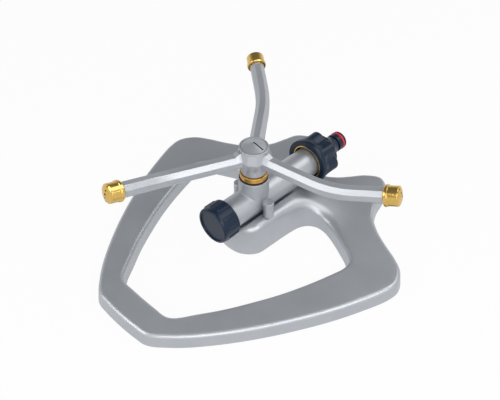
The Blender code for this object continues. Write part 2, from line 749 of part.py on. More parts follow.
def arm_route(turn):
    """The arm's centre line: out from the hub, round the bend and on to the tip."""
    root = Vector((0, 0, ARM_HUB_Z)) + arm_direction(turn) * HUB_CHAMBER * 0.75
    bend = arm_direction(turn) * ARM_BEND_R + Vector((0, 0, ARM_BEND_Z))
    tip = arm_direction(turn + ARM_TIP_LEAD) * ARM_TIP_R + Vector((0, 0, ARM_TIP_Z))
    before = bend + (root - bend).normalized() * ARM_BEND_ROUND
    after = bend + (tip - bend).normalized() * ARM_BEND_ROUND
    route = [root]
    for step in range(7):
        t = step / 6
        route.append((1 - t) ** 2 * before + 2 * t * (1 - t) * bend + t * t * after)
    route.append(tip)
    return route


def swept(name, route, radius, collection, parent):
    """An octagonal bar along a route, with flats above, below and on its sides."""
    profile = bpy.data.curves.new(name + "_profile", "CURVE")
    profile.dimensions = "2D"
    corners = profile.splines.new("POLY")
    corners.points.add(7)
    for index, point in enumerate(corners.points):
        turn = math.radians(22.5 + 45 * index)
        point.co = (radius * math.cos(turn), radius * math.sin(turn), 0.0, 1.0)
    corners.use_cyclic_u = True
    profile_object = as_helper(bpy.data.objects.new(name + "_profile", profile))
    CUTTERS.objects.link(profile_object)

    line = bpy.data.curves.new(name + "_line", "CURVE")
    line.dimensions = "3D"
    line.twist_mode = "Z_UP"
    line.bevel_mode = "OBJECT"
    line.bevel_object = profile_object
    line.use_fill_caps = True
    spline = line.splines.new("POLY")
    spline.points.add(len(route) - 1)
    for point, place in zip(spline.points, route):
        point.co = (*place, 1.0)
    line_object = bpy.data.objects.new(name + "_line", line)
    collection.objects.link(line_object)

    bpy.context.view_layer.update()
    graph = bpy.context.evaluated_depsgraph_get()
    mesh = bpy.data.meshes.new_from_object(line_object.evaluated_get(graph))
    bm = bmesh.new()
    bm.from_mesh(mesh)
    bmesh.ops.remove_doubles(bm, verts=bm.verts, dist=0.000001)
    bmesh.ops.recalc_face_normals(bm, faces=bm.faces)
    bpy.data.objects.remove(line_object)
    bpy.data.objects.remove(profile_object)
    return mesh_object(name, bm, collection, parent=parent)


def make_rotor():
    """The rotor: a twelve-sided hub and three bent octagonal arms in one casting, bored for the water."""
    skirt_low = BEARING_TOP + 2 * GAP
    outline = [
        (0.0, HUB_TOP_Z),
        (HUB_TOP_RADIUS, HUB_TOP_Z),
        (HUB_WAIST, HUB_WAIST_Z + 0.0008),
        (HUB_WAIST, HUB_WAIST_Z - 0.0008),
        (HUB_BOTTOM_RADIUS, HUB_FACET_Z),
        (0.0, HUB_FACET_Z),
    ]
    hub = turned("rotor_casting", outline, HUB_SIDES, PARTS, PAINT, SPIN_AXIS, closed=False)
    hub.rotation_euler.z = ARM_TURN - math.pi / HUB_SIDES
    smooth(hub, math.radians(20))
    skirt = rod("hub_skirt", SKIRT_RADIUS, skirt_low, HUB_FACET_Z + 0.0010, 24, CUTTERS, parent=SPIN_AXIS)
    join(hub, skirt)
    turns = [ARM_TURN + 2 * math.pi * index / ARM_COUNT for index in range(ARM_COUNT)]
    corner = ARM_FLATS / 2 / math.cos(math.radians(22.5))
    for index, turn in enumerate(turns):
        route = arm_route(turn)
        join(hub, swept(f"arm_{index}", route, corner, CUTTERS, SPIN_AXIS))
        spigot = rod(
            f"arm_spigot_{index}",
            SPIGOT_RADIUS,
            -0.0020,
            SPIGOT_LENGTH,
            ROUND_SMALL,
            CUTTERS,
            parent=NOZZLE_AXES[index],
        )
        join(hub, spigot)
    chamber_low = SPINDLE_TOP - 0.0015
    chamber = rod("hub_chamber", HUB_CHAMBER, chamber_low, HUB_TOP_Z + 0.001, 24, CUTTERS, parent=SPIN_AXIS)
    cut(hub, chamber)
    seat = rod("spindle_seat", SPINDLE_RADIUS + GAP, skirt_low - 0.001, chamber_low + 0.001, 24, CUTTERS)
    seat.parent = SPIN_AXIS
    cut(hub, seat)
    recess_top = BEARING_TOP + 2 * GAP + THRUST_THICKNESS
    recess = rod("thrust_recess", THRUST_RADIUS + GAP, skirt_low - 0.001, recess_top, 24, CUTTERS)
    recess.parent = SPIN_AXIS
    cut(hub, recess)
    for index, turn in enumerate(turns):
        route = arm_route(turn)
        route[0] = route[0] - arm_direction(turn) * 0.002
        outward = (route[-1] - route[-2]).normalized()
        route.append(route[-1] + outward * (SPIGOT_LENGTH + 0.001))
        cut(hub, swept(f"arm_bore_{index}", route, ARM_BORE, CUTTERS, SPIN_AXIS))


def make_hub_cap():
    """The conical plug in the top of the hub, with a radial slot, and its sealing ring."""
    low = HUB_TOP_Z + GAP
    rim = low + CAP_RIM_HEIGHT
    spigot = HUB_CHAMBER - GAP
    ring_z = low - 0.0020
    groove = spigot - 2 * RING_WIRE - GAP
    outline = [
        (0.0, rim + CAP_CONE_HEIGHT),
        (0.0010, rim + CAP_CONE_HEIGHT - 0.0002),
        (HUB_TOP_RADIUS, rim),
        (HUB_TOP_RADIUS, low),
        (spigot, low),
        (spigot, ring_z + RING_WIRE + GAP),
        (groove, ring_z + RING_WIRE + GAP),
        (groove, ring_z - RING_WIRE - GAP),
        (spigot, ring_z - RING_WIRE - GAP),
        (spigot, low - CAP_SPIGOT),
        (0.0, low - CAP_SPIGOT),
    ]
    cap = turned("hub_cap", outline, ROUND_LARGE, PARTS, PAINT, SPIN_AXIS, closed=False)
    smooth(cap)
    slope = math.atan2(CAP_CONE_HEIGHT, HUB_TOP_RADIUS)
    slot = bmesh.new()
    place = (
        Matrix.Rotation(ARM_TURN + 4 * math.pi / 3, 4, "Z")
        @ Matrix.Translation((0, 0, rim + CAP_CONE_HEIGHT))
        @ Matrix.Rotation(slope, 4, "Y")
        @ Matrix.Translation((SLOT_LENGTH / 2, 0, 0))
        @ Matrix.Diagonal((SLOT_LENGTH, SLOT_WIDTH, 2 * SLOT_DEPTH, 1.0))
    )
    bmesh.ops.create_cube(slot, size=1.0, matrix=place)
    cut(cap, mesh_object("hub_cap_slot", slot, CUTTERS, parent=SPIN_AXIS))
    smooth(round_ring("hub_cap_seal", groove + GAP / 2, RING_WIRE, ring_z, 24, RUBBER, SPIN_AXIS))


def domed(radius, apex, bend, steps):
    """Outline of a dome from its apex out to a radius, for a sphere of radius bend."""
    points = []
    for index in range(steps + 1):
        reach = radius * index / steps
        points.append((reach, apex - bend + math.sqrt(bend * bend - reach * reach)))
    return points


def make_nozzles():
    """A brass spray nozzle on each arm's tip, with a row of five jets, and the sealing ring behind it."""
    inside = SPIGOT_RADIUS + GAP
    seal_outside = inside + GAP / 2 + 2 * RING_WIRE
    groove = (seal_outside + GAP / 2) / math.cos(math.pi / ROUND_SMALL)
    rim = NOZZLE_RADIUS - NOZZLE_EDGE
    bend = (rim * rim + DOME_HEIGHT * DOME_HEIGHT) / (2 * DOME_HEIGHT)
    shoulder = NOZZLE_LENGTH - DOME_HEIGHT - NOZZLE_EDGE
    outline = domed(rim, NOZZLE_LENGTH, bend, 3)
    outline += [
        (NOZZLE_RADIUS, shoulder),
        (NOZZLE_RADIUS, NOZZLE_FLANGE_LENGTH + 0.0004),
        (NOZZLE_FLANGE, NOZZLE_FLANGE_LENGTH),
        (NOZZLE_FLANGE, 0.0010),
        (NOZZLE_FLANGE - 0.0006, GAP),
        (inside, GAP),
        (inside, SEAL_SEAT - RING_WIRE - GAP),
        (groove, SEAL_SEAT - RING_WIRE - GAP),
        (groove, SEAL_SEAT + RING_WIRE + GAP),
        (inside, SEAL_SEAT + RING_WIRE + GAP),
    ]
    outline += reversed(domed(inside, NOZZLE_LENGTH - NOZZLE_FACE, bend - NOZZLE_FACE, 2))
    for axis, name in zip(NOZZLE_AXES, ARM_NAMES):
        nozzle = turned("nozzle_" + name, outline, ROUND_SMALL, PARTS, YELLOW_METAL, axis, closed=False)
        smooth(nozzle)
        jets = bmesh.new()
        for index, radius in enumerate(JET_RADII):
            # Each jet is drilled square to the dome, through the centre of its sphere
            fan = math.asin((index - (len(JET_RADII) - 1) / 2) * JET_PITCH / bend)
            centre = Matrix.Translation((0, 0, NOZZLE_LENGTH - bend))
            bmesh.ops.create_cone(
                jets,
                cap_ends=True,
                segments=6,
                radius1=radius,
                radius2=radius,
                depth=NOZZLE_FACE * 4,
                matrix=centre @ Matrix.Rotation(fan, 4, "Y") @ Matrix.Translation((0, 0, bend)),
            )
        cut(nozzle, mesh_object("jets_" + name, jets, CUTTERS, parent=axis))
        ring = round_ring(
            "nozzle_seal_" + name, inside + GAP / 2, RING_WIRE, SEAL_SEAT, ROUND_SMALL, RUBBER, axis
        )
        smooth(ring)


clear_scene()
PARTS = new_collection("rotary_sprinkler")
CUTTERS = new_collection("cutters")
CUTTERS.hide_render = True

PAINT = finish("silver_paint", SILVER, 0.6, 0.42)
PLASTIC = finish("navy_plastic", NAVY, 0.0, 0.4)
PALE_PLASTIC = finish("pale_plastic", (0.72, 0.72, 0.70), 0.0, 0.5)
YELLOW_METAL = finish("brass", BRASS, 1.0, 0.22)
STEEL = finish("screw_steel", (0.55, 0.56, 0.58), 1.0, 0.35)
RUBBER = finish("black_rubber", (0.02, 0.02, 0.02), 0.0, 0.7)
RED = finish("red_rubber", (0.75, 0.02, 0.03), 0.0, 0.5)

ARM_NAMES = ("back", "left", "right")
SPIN_AXIS = frame_empty("spin_axis", (0, AXIS_Y, 0), up=(1, 0, 0))
TUBE_AXIS = frame_empty("tube_axis", (0, AXIS_Y, TUBE_Z), direction=(0, 1, 0))
CAP_AXIS = frame_empty("end_cap_axis", (0, AXIS_Y, TUBE_Z), direction=(0, 1, 0))
INLET_AXIS = frame_empty("inlet_axis", (0, AXIS_Y, TUBE_Z), direction=(0, 1, 0))
NOZZLE_AXES = []
for arm_index, arm_name in enumerate(ARM_NAMES):
    arm_line = arm_route(ARM_TURN + 2 * math.pi * arm_index / ARM_COUNT)
    NOZZLE_AXES.append(
        frame_empty(
            "nozzle_axis_" + arm_name,
            arm_line[-1] + Vector((0, AXIS_Y, 0)),
            direction=arm_line[-1] - arm_line[-2],
        )
    )

make_base()
make_tee()
make_base_screws()
make_end_cap()
make_inlet()
make_bearing()
make_rotor()
make_hub_cap()
make_nozzles()
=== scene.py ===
"""Rotary lawn sprinkler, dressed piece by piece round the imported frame.

The frame's origin is on the ground under the middle of the base. The rotor turns about the upright line at
y = AXIS_Y, the water tube runs along Y at height TUBE_Z, and the nose of the base points along -Y.
"""

import math

import bmesh
import bpy
import numpy as np
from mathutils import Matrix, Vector, geometry


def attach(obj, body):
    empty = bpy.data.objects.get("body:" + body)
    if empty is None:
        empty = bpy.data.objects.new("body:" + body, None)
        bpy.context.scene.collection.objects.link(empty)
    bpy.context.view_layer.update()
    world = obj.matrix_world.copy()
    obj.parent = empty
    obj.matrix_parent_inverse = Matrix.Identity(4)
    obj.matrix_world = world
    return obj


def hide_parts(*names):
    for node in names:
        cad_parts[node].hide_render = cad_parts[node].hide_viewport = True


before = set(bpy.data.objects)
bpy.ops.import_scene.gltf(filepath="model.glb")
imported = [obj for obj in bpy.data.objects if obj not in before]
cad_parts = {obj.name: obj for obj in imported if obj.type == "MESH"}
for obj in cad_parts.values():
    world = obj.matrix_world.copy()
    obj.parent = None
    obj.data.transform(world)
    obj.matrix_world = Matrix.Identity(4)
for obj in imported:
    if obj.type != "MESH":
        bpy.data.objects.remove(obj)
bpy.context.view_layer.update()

# Photographer's view
# A camera in front of the base and to its right, half a metre up, looking down with its horizon level.
CAMERA_PLACE = (0.34546, -0.34082, 0.49323)
CAMERA_TURN = math.radians(44.78)
CAMERA_DIP = math.radians(42.73)
CAMERA_LENS = 54.82

camera_data = bpy.data.cameras.new("photo_camera")
camera_data.lens = CAMERA_LENS
camera_data.sensor_width = 36.0
camera_data.clip_start = 0.01
camera = bpy.data.objects.new("photo_camera", camera_data)
camera.location = CAMERA_PLACE
camera.rotation_euler = (math.pi / 2 - CAMERA_DIP, 0.0, CAMERA_TURN)
bpy.context.scene.collection.objects.link(camera)
bpy.context.scene.camera = camera
bpy.context.scene.view_settings.view_transform = "Standard"


# Studio
# A white sheet underfoot, a room whose white walls darken to a grey ceiling, three soft boxes in an arc
# round the photographer and a fourth behind on the right.
# How far the UV map moves across in jets, slots and bores, where the finishes paint shade near black.
PAINTED_SHADE_UV = 2.0


class Signal:
    """A value on its way through a material's nodes. Arithmetic and comparison add Math nodes."""

    def __init__(self, finish, socket):
        self.finish = finish
        self.socket = socket

    def math(self, operation, first, second):
        return self.finish.node("ShaderNodeMath", {"operation": operation}, {0: first, 1: second})[0]

    def __add__(self, other):
        return self.math("ADD", self, other)

    __radd__ = __add__

    def __sub__(self, other):
        return self.math("SUBTRACT", self, other)

    def __rsub__(self, other):
        return self.math("SUBTRACT", other, self)

    def __mul__(self, other):
        return self.math("MULTIPLY", self, other)

    __rmul__ = __mul__

    def __gt__(self, other):
        return self.math("GREATER_THAN", self, other)


class Finish:
    """The node tree of one material or of the world, with one method that makes any node."""

    def __init__(self, tree):
        self.tree = tree
        self.tree.nodes.clear()

    def node(self, kind, settings=None, sockets=None):
        """Adds a node, sets it up, feeds its sockets with numbers or signals and returns its outputs."""
        made = self.tree.nodes.new(kind)
        for name, value in (settings or {}).items():
            if name == "stops":
                ramp = made.color_ramp
                for index, (place, colour) in enumerate(value):
                    stop = ramp.elements[index] if index < 2 else ramp.elements.new(place)
                    stop.position = place
                    stop.color = (*colour, 1.0)
            else:
                setattr(made, name, value)
        for name, value in (sockets or {}).items():
            if isinstance(value, Signal):
                self.tree.links.new(value.socket, made.inputs[name])
            else:
                made.inputs[name].default_value = value
        outputs = {}
        for index, out in enumerate(made.outputs):
            outputs[index] = Signal(self, out)
            outputs.setdefault(out.name, outputs[index])
        return outputs

    def mix(self, share, first, second):
        """A colour between two colours."""
        return self.node("ShaderNodeMix", {"data_type": "RGBA"}, {0: share, 6: first, 7: second})[2]

    def coordinate(self, kind, axis):
        """One axis of a kind of texture coordinates."""
        return self.node("ShaderNodeSeparateXYZ", {}, {0: self.node("ShaderNodeTexCoord")[kind]})[axis]

    def noise(self, scale, detail=2.0):
        """Cloudy values round one half, fixed to the object."""
        place = self.node("ShaderNodeTexCoord")["Object"]
        sockets = {"Vector": place, "Scale": scale, "Detail": detail}
        return self.node("ShaderNodeTexNoise", {}, sockets)["Fac"]

    def bump(self, height, distance, strength=1.0):
        """A normal tilted as if the surface rose by distance where the height is 1."""
        sockets = {"Strength": strength, "Distance": distance, "Height": height}
        return self.node("ShaderNodeBump", {}, sockets)["Normal"]

    def painted_shade_mask(self):
        """One for painted shade in jets, slots and bores, where the UV map was moved across, else zero."""
        return self.coordinate("UV", "X") > PAINTED_SHADE_UV - 0.5

    def seen(self):
        """One for what the camera sees, straight or by gloss or glass, and zero for other light."""
        ray = self.node("ShaderNodeLightPath")
        return ray["Is Camera Ray"] + ray["Is Glossy Ray"] + ray["Is Transmission Ray"]

    def surface(self, sockets):
        """Ends the tree in a principled surface."""
        shader = self.node("ShaderNodeBsdfPrincipled", {}, sockets)
        self.node("ShaderNodeOutputMaterial", {}, {"Surface": shader["BSDF"]})


def new_material(name):
    """A material and its empty node tree."""
    material = bpy.data.materials.new(name)
    material.use_nodes = True
    return material, Finish(material.node_tree)


FLOOR_HALF = 3.0
FLOOR_DROP = 0.0006
WALL_STOPS = (
    (0.18, (1.0, 1.0, 1.0)),
    (0.42, (0.50, 0.51, 0.53)),
    (0.66, (0.21, 0.21, 0.22)),
    (1.0, (0.26, 0.26, 0.27)),
)
ROOM_LIGHT = 0.58
ROOM_SEEN = 0.42
SHEET_SEEN = 0.95

world = bpy.data.worlds.new("studio_room")
world.use_nodes = True
bpy.context.scene.world = world
room = Finish(world.node_tree)
height = room.coordinate("Generated", "Z")
walls = room.node("ShaderNodeValToRGB", {"stops": WALL_STOPS}, {0: height})["Color"]
strength = room.seen() * ROOM_SEEN + ROOM_LIGHT
room_light = room.node("ShaderNodeBackground", {}, {"Color": walls, "Strength": strength})
room.node("ShaderNodeOutputWorld", {}, {"Surface": room_light["Background"]})

sheet_material, sheet = new_material("studio_sheet")
white = sheet.node("ShaderNodeEmission", {}, {"Color": (1, 1, 1, 1), "Strength": 1.0})["Emission"]
paper = sheet.node("ShaderNodeBsdfDiffuse", {}, {"Color": (0.66, 0.66, 0.67, 1)})["BSDF"]
blend = sheet.node("ShaderNodeMixShader", {}, {0: sheet.seen() * SHEET_SEEN, 1: paper, 2: white})
sheet.node("ShaderNodeOutputMaterial", {}, {"Surface": blend[0]})

floor_mesh = bpy.data.meshes.new("floor")
corners = [(x * FLOOR_HALF, y * FLOOR_HALF, -FLOOR_DROP) for x, y in ((-1, -1), (1, -1), (1, 1), (-1, 1))]
floor_mesh.from_pydata(corners, [], [(0, 1, 2, 3)])
floor_mesh.materials.append(sheet_material)
floor = bpy.data.objects.new("floor", floor_mesh)
bpy.context.scene.collection.objects.link(floor)

SOFT_WHITE = (1.0, 0.975, 0.94)
MIDDLE = (0.0, 0.0, 0.05)


def soft_box(name, place, size, power):
    """A rectangular lamp at a place, turned to face the object."""
    data = bpy.data.lights.new(name, "AREA")
    data.shape = "RECTANGLE"
    data.size, data.size_y = size
    data.energy = power
    data.color = SOFT_WHITE
    lamp = bpy.data.objects.new(name, data)
    lamp.location = place
    lamp.rotation_euler = (Vector(place) - Vector(MIDDLE)).to_track_quat("Z", "Y").to_euler()
    bpy.context.scene.collection.objects.link(lamp)


soft_box("front_box", (0.98, -0.92, 0.80), (0.9, 0.8), 9.8)
soft_box("right_box", (1.15, 0.05, 1.05), (0.8, 0.8), 9.5)
soft_box("rear_box", (0.52, 0.98, 1.30), (0.9, 0.9), 8.0)
soft_box("left_box", (-0.48, -1.10, 0.88), (0.8, 0.8), 9.5)


# Base casting
# A silver painted casting, a shell open below with one wide opening, standing on its lower edge.
# A channel in its pedestal clears the water tube, and two bosses inside it carry the tee's screws.
AXIS_Y = 0.01185
ON_AXIS = (0.0, AXIS_Y, 0.0)
TUBE_Z = 0.0394
GAP = 0.0003
BAR_HEIGHT = 0.0125
BASE_WALL = 0.0026
RIM_RADIUS = 0.0040
RIM_DRAFT = 0.0012
SHOULDER_HEIGHT = 0.0310
SHOULDER_HALF = 0.0220
SHOULDER_RIM = 0.0070
WING_FALL = 0.0230
TAIL_START = 0.0300
TAIL_FALL = 0.0300
SHOULDER_FRONT = 0.0120
FRONT_FALL = 0.0420
TROUGH_RADIUS = 0.0155
RELIEF_RADIUS = 0.0181
RELIEF_END = -0.0283
RELIEF_STEP = 0.0006
CHANNEL_SIDE_SLOPE = 50
LIP_BLEND = 0.0016
BROW_X = 0.0430
BROW_Y = 0.0430
BROW_SPREAD = 0.0190
BROW_HEIGHT = 0.6
BROW_REACH = 1.6
BOSS_X = 0.0182
SCREW_HOLE = 0.0023
CASTING_BOSS = 0.0050
CASTING_BOSS_EDGE = 0.0004
CASTING_BOSS_TOP = 0.0290
CASTING_BOSS_CORE = 0.0280
ROOF_BEND = 0.0190
ROOF_SLOPE = 0.72
SCREW_SEAT = 0.0240
RIM_STEPS = 10
PER_SPAN = 8
BOSS_SIDES = 32
# Spacing of the points on the flat faces: wide all over, finer along the channel, its lips and its step.
OUTER_PITCH = 0.0035
INNER_PITCH = 0.0050
WIDE_X = (0, 0.145)
WIDE_Y = (-0.155, 0.135)
LIP_X = ((0, 0.009, 0.0015), (0.009, 0.0165, 0.0005), (0.0165, 0.024, 0.0015))
CHANNEL_Y = (-0.0245, 0.080, 0.0025)
STEP_Y = (-0.0315, -0.0265, 0.0003)
FINE_HALF = 0.0255
FINE_FRONT = -0.033
FINE_BACK = 0.082
EDGE_MARGIN = 0.0011
BASE_STATIONS = np.array(
    (
        ((0.0000, -0.1545), (0.0000, -0.1264)),  # middle of the nose
        ((0.0180, -0.1538), (0.0140, -0.1262)),
        ((0.0315, -0.1515), (0.0255, -0.1256)),  # nose corner
        ((0.0450, -0.1408), (0.0325, -0.1208)),
        ((0.0590, -0.1262), (0.0410, -0.1075)),
        ((0.0760, -0.1043), (0.0530, -0.0885)),  # long side
        ((0.0920, -0.0803), (0.0640, -0.0675)),
        ((0.1067, -0.0549), (0.0740, -0.0460)),
        ((0.1205, -0.0277), (0.0818, -0.0255)),
        ((0.1315, -0.0010), (0.0875, -0.0075)),
        ((0.1380, 0.0185), (0.0910, 0.0050)),  # wing lobe
        ((0.1388, 0.0330), (0.0928, 0.0130)),
        ((0.1310, 0.0465), (0.0920, 0.0210)),  # corner of the opening
        ((0.1180, 0.0552), (0.0860, 0.0265)),
        ((0.1020, 0.0628), (0.0765, 0.0315)),
        ((0.0870, 0.0714), (0.0660, 0.0366)),
        ((0.0752, 0.0815), (0.0560, 0.0408)),  # flank behind the wing
        ((0.0675, 0.0945), (0.0470, 0.0432)),
        ((0.0635, 0.1080), (0.0385, 0.0427)),
        ((0.0585, 0.1225), (0.0318, 0.0385)),  # tail lobe
        ((0.0450, 0.1308), (0.0278, 0.0315)),
        ((0.0310, 0.1232), (0.0262, 0.0220)),
        ((0.0205, 0.1098), (0.0254, 0.0100)),
        ((0.0165, 0.1048), (0.0249, -0.0040)),
        ((0.0138, 0.1018), (0.0240, -0.0165)),  # pedestal corner
        ((0.0110, 0.0993), (0.0195, -0.0240)),
        ((0.0080, 0.0969), (0.0142, -0.0282)),
        ((0.0050, 0.0951), (0.0085, -0.0306)),
        ((0.0000, 0.0942), (0.0000, -0.0315)),  # pedestal tip and tail notch
    )
)


def grid(points, across, along):
    """A shell of quads over rows of points, with UV pairs from its places across and along."""
    rows, columns = points.shape[:2]
    index = np.arange(rows * columns).reshape(rows, columns)
    quads = np.stack([index[:-1, :-1], index[:-1, 1:], index[1:, 1:], index[1:, :-1]], -1).reshape(-1, 4)
    uv = np.stack(np.broadcast_arrays(across[None, :], along[:, None]), -1)
    return points.reshape(-1, 3), quads.tolist(), uv.reshape(-1, 2)


def build(name, shells, material, body, node, crease=math.radians(32), round_edges=0.0):
    """One closed mesh from shells whose edges meet, set in the frame in place of a node."""
    points, faces, pairs, start = [], [], [], 0
    for shell_points, shell_faces, shell_pairs in shells:
        points.append(shell_points)
        faces.extend([index + start for index in face] for face in shell_faces)
        pairs.append(shell_pairs)
        start += len(shell_points)
    mesh = bpy.data.meshes.new(name)
    mesh.from_pydata(np.vstack(points).tolist(), [], faces)
    corner_points = np.empty(len(mesh.loops), dtype=np.int32)
    mesh.loops.foreach_get("vertex_index", corner_points)
    layer = mesh.uv_layers.new(name="surface")
    layer.data.foreach_set("uv", np.vstack(pairs)[corner_points].astype(np.float32).ravel())
    bm = bmesh.new()
    bm.from_mesh(mesh)
    bmesh.ops.remove_doubles(bm, verts=bm.verts, dist=0.000002)
    bmesh.ops.dissolve_degenerate(bm, dist=0.0000005, edges=bm.edges)
    bmesh.ops.recalc_face_normals(bm, faces=bm.faces)
    for face in bm.faces:
        face.smooth = True
    if not round_edges:
        for edge in bm.edges:
            edge.smooth = edge.calc_face_angle(0.0) < crease
    bm.to_mesh(mesh)
    bm.free()
    mesh.materials.append(material)
    made = bpy.data.objects.new(name, mesh)
    bpy.context.scene.collection.objects.link(made)
    if round_edges:
        bevel = made.modifiers.new("edges", "BEVEL")
        bevel.width = round_edges
        bevel.segments = 3
        bevel.limit_method = "ANGLE"
        bevel.angle_limit = crease
        bevel.harden_normals = True
    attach(made, body)
    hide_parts(node)


def within(places, ring):
    """Which places are inside a closed ring, by counting the ring's crossings to the right of each."""
    here, there = ring, np.roll(ring, -1, axis=0)
    x, y = places[:, :1], places[:, 1:]
    spans = (here[:, 1] > y) != (there[:, 1] > y)
    rise = np.where(here[:, 1] == there[:, 1], 1.0, there[:, 1] - here[:, 1])
    crossing = here[:, 0] + (y - here[:, 1]) / rise * (there[:, 0] - here[:, 0])
    return (spans & (crossing > x)).sum(axis=1) % 2 == 1


def sheet_faces(outline, holes, extra):
    """Triangles between an outline and its holes, numbered as outline, holes and extra points follow."""
    rings = [outline, *holes]
    flat = np.vstack([*rings, extra])
    edges, start = [], 0
    for ring in rings:
        count = len(ring)
        edges.extend((start + index, start + (index + 1) % count) for index in range(count))
        start += count
    found = geometry.delaunay_2d_cdt([Vector(place) for place in flat], edges, [], 1, 1e-9)
    source = np.array([origin[0] for origin in found[3]])
    faces = source[np.array(found[2])]
    middle = flat[faces].mean(axis=1)
    kept = within(middle, outline)
    for hole in holes:
        kept &= ~within(middle, hole)
    return faces[kept].tolist()


def clear_of(places, rings, margin):
    """The places that keep a margin from every point of some rings."""
    apart = places[:, None] - np.vstack(rings)
    return places[(apart**2).sum(axis=2).min(axis=1) > margin * margin]


def outside(places, holes, margin):
    """The places in no hole and a margin away from the holes' points."""
    return clear_of(places[~np.any([within(places, hole) for hole in holes], axis=0)], holes, margin)


def through(points, per_span):
    """Points along a smooth curve through some given ones, which goes on mirrored past its ends.

    Each span is a cubic. Its slope at a point is half of the way from the point before to the one after.
    """
    line = np.vstack([points[1] * (-1, 1), points, points[-2] * (-1, 1)])
    share = (np.arange(per_span) / per_span)[None, :, None]
    p0, p1, p2, p3 = (line[start : len(line) - 3 + start][:, None, :] for start in range(4))
    straight = 2 * p1 + (p2 - p0) * share
    bent = (2 * p0 - 5 * p1 + 4 * p2 - p3) * share**2 + (3 * p1 - p0 - 3 * p2 + p3) * share**3
    return np.vstack([(0.5 * (straight + bent)).reshape(-1, 2), points[-1]])


def ease(value, start, end):
    """0 before start, 1 after end, and a smooth cubic rise between."""
    share = np.clip((value - start) / (end - start), 0.0, 1.0)
    return share * share * (3 - 2 * share)


def swell(x, y):
    """1 on the pedestal, falling as a bell curve with the distance from it aside, behind and ahead."""
    aside = np.maximum(np.abs(x) - SHOULDER_HALF, 0.0) / WING_FALL
    behind = np.maximum(y - TAIL_START, 0.0) / TAIL_FALL
    ahead = np.maximum(-y - SHOULDER_FRONT, 0.0) / FRONT_FALL
    return np.exp(-(aside**2) - behind**2 - ahead**2)


def lower_of(first, second, blend):
    """The lower of two heights, rounded over a blend where they cross."""
    share = np.clip(0.5 + 0.5 * (second - first) / blend, 0.0, 1.0)
    return second * (1 - share) + first * share - blend * share * (1 - share)


def channel(x, y, wall):
    """Height of the channel under the tube: a round trough, wider where it clears the end cap."""
    step = ease(y, RELIEF_END, RELIEF_END - RELIEF_STEP)
    radius = TROUGH_RADIUS + wall + (RELIEF_RADIUS - TROUGH_RADIUS) * step
    trough = TUBE_Z - np.sqrt(np.maximum(radius**2 - x**2, 0.0))
    return np.where(np.abs(x) < radius, trough, TUBE_Z + CHANNEL_SIDE_SLOPE * (np.abs(x) - radius))


def base_height(x, y, inset, fall=0.0):
    """Height of the top face, or of the hollow's roof when inset is the wall, less the edge's fall."""
    plateau = BAR_HEIGHT + (SHOULDER_HEIGHT - BAR_HEIGHT) * swell(x, y)
    return lower_of(plateau - inset - fall, channel(x, y, inset), LIP_BLEND)


def at_height(flat, height):
    """Points of a plan, raised to a height or to one height each."""
    return np.column_stack([flat, np.broadcast_to(height, len(flat))])


def base_rim(edge, inward, inset, inner):
    """Rows of points up one side of the base and round its edge onto the top.

    The rounding is a quarter circle, which on the inner side grows over the arch into a broad ellipse.
    """
    x, y = edge.T
    brow = inner * np.exp(-((np.abs(x) - BROW_X) ** 2 + (y - BROW_Y) ** 2) / BROW_SPREAD**2)
    radius = RIM_RADIUS + (SHOULDER_RIM - RIM_RADIUS) * swell(x, y)
    reach = (radius * (1 + BROW_REACH * brow) - inset)[:, None]
    drop = radius * (1 + BROW_HEIGHT * brow) - inset
    rows = [at_height(edge + inward * inset, 0.0)]
    for turn in np.linspace(0, math.pi / 2, RIM_STEPS + 1):
        place = edge + inward * (inset + RIM_DRAFT + reach * (1 - math.cos(turn)))
        rows.append(at_height(place, base_height(*place.T, inset, drop * (1 - math.sin(turn)))))
    return np.array(rows)


def circle(radius, count, x=0.0):
    """Even points round a circle, or round a closed curve with one radius for each point."""
    turn = math.tau * np.arange(count) / count
    return np.column_stack([x + radius * np.cos(turn), radius * np.sin(turn)])


def lines(*spans):
    """Coordinates on both sides of the middle, from spans of a start, an end and a pitch."""
    right = np.concatenate([np.arange(start, end, pitch) for start, end, pitch in spans])
    return np.unique(np.concatenate([-right, right]))


def lattice(across, along):
    """Every pair of two lists of coordinates."""
    return np.stack(np.meshgrid(across, along, indexing="ij"), -1).reshape(-1, 2)


def strip(rows):
    """A shell between closed rings of points, with a millimetre of UV map from ring to ring."""
    rows = np.array(rows)
    rows = np.concatenate([rows, rows[:, :1]], axis=1)
    return grid(rows, np.linspace(0, 1, rows.shape[1]), np.arange(len(rows)) * 0.001)


def unit(vectors):
    """The vectors' directions, each one long."""
    return vectors / np.linalg.norm(vectors, axis=-1, keepdims=True)


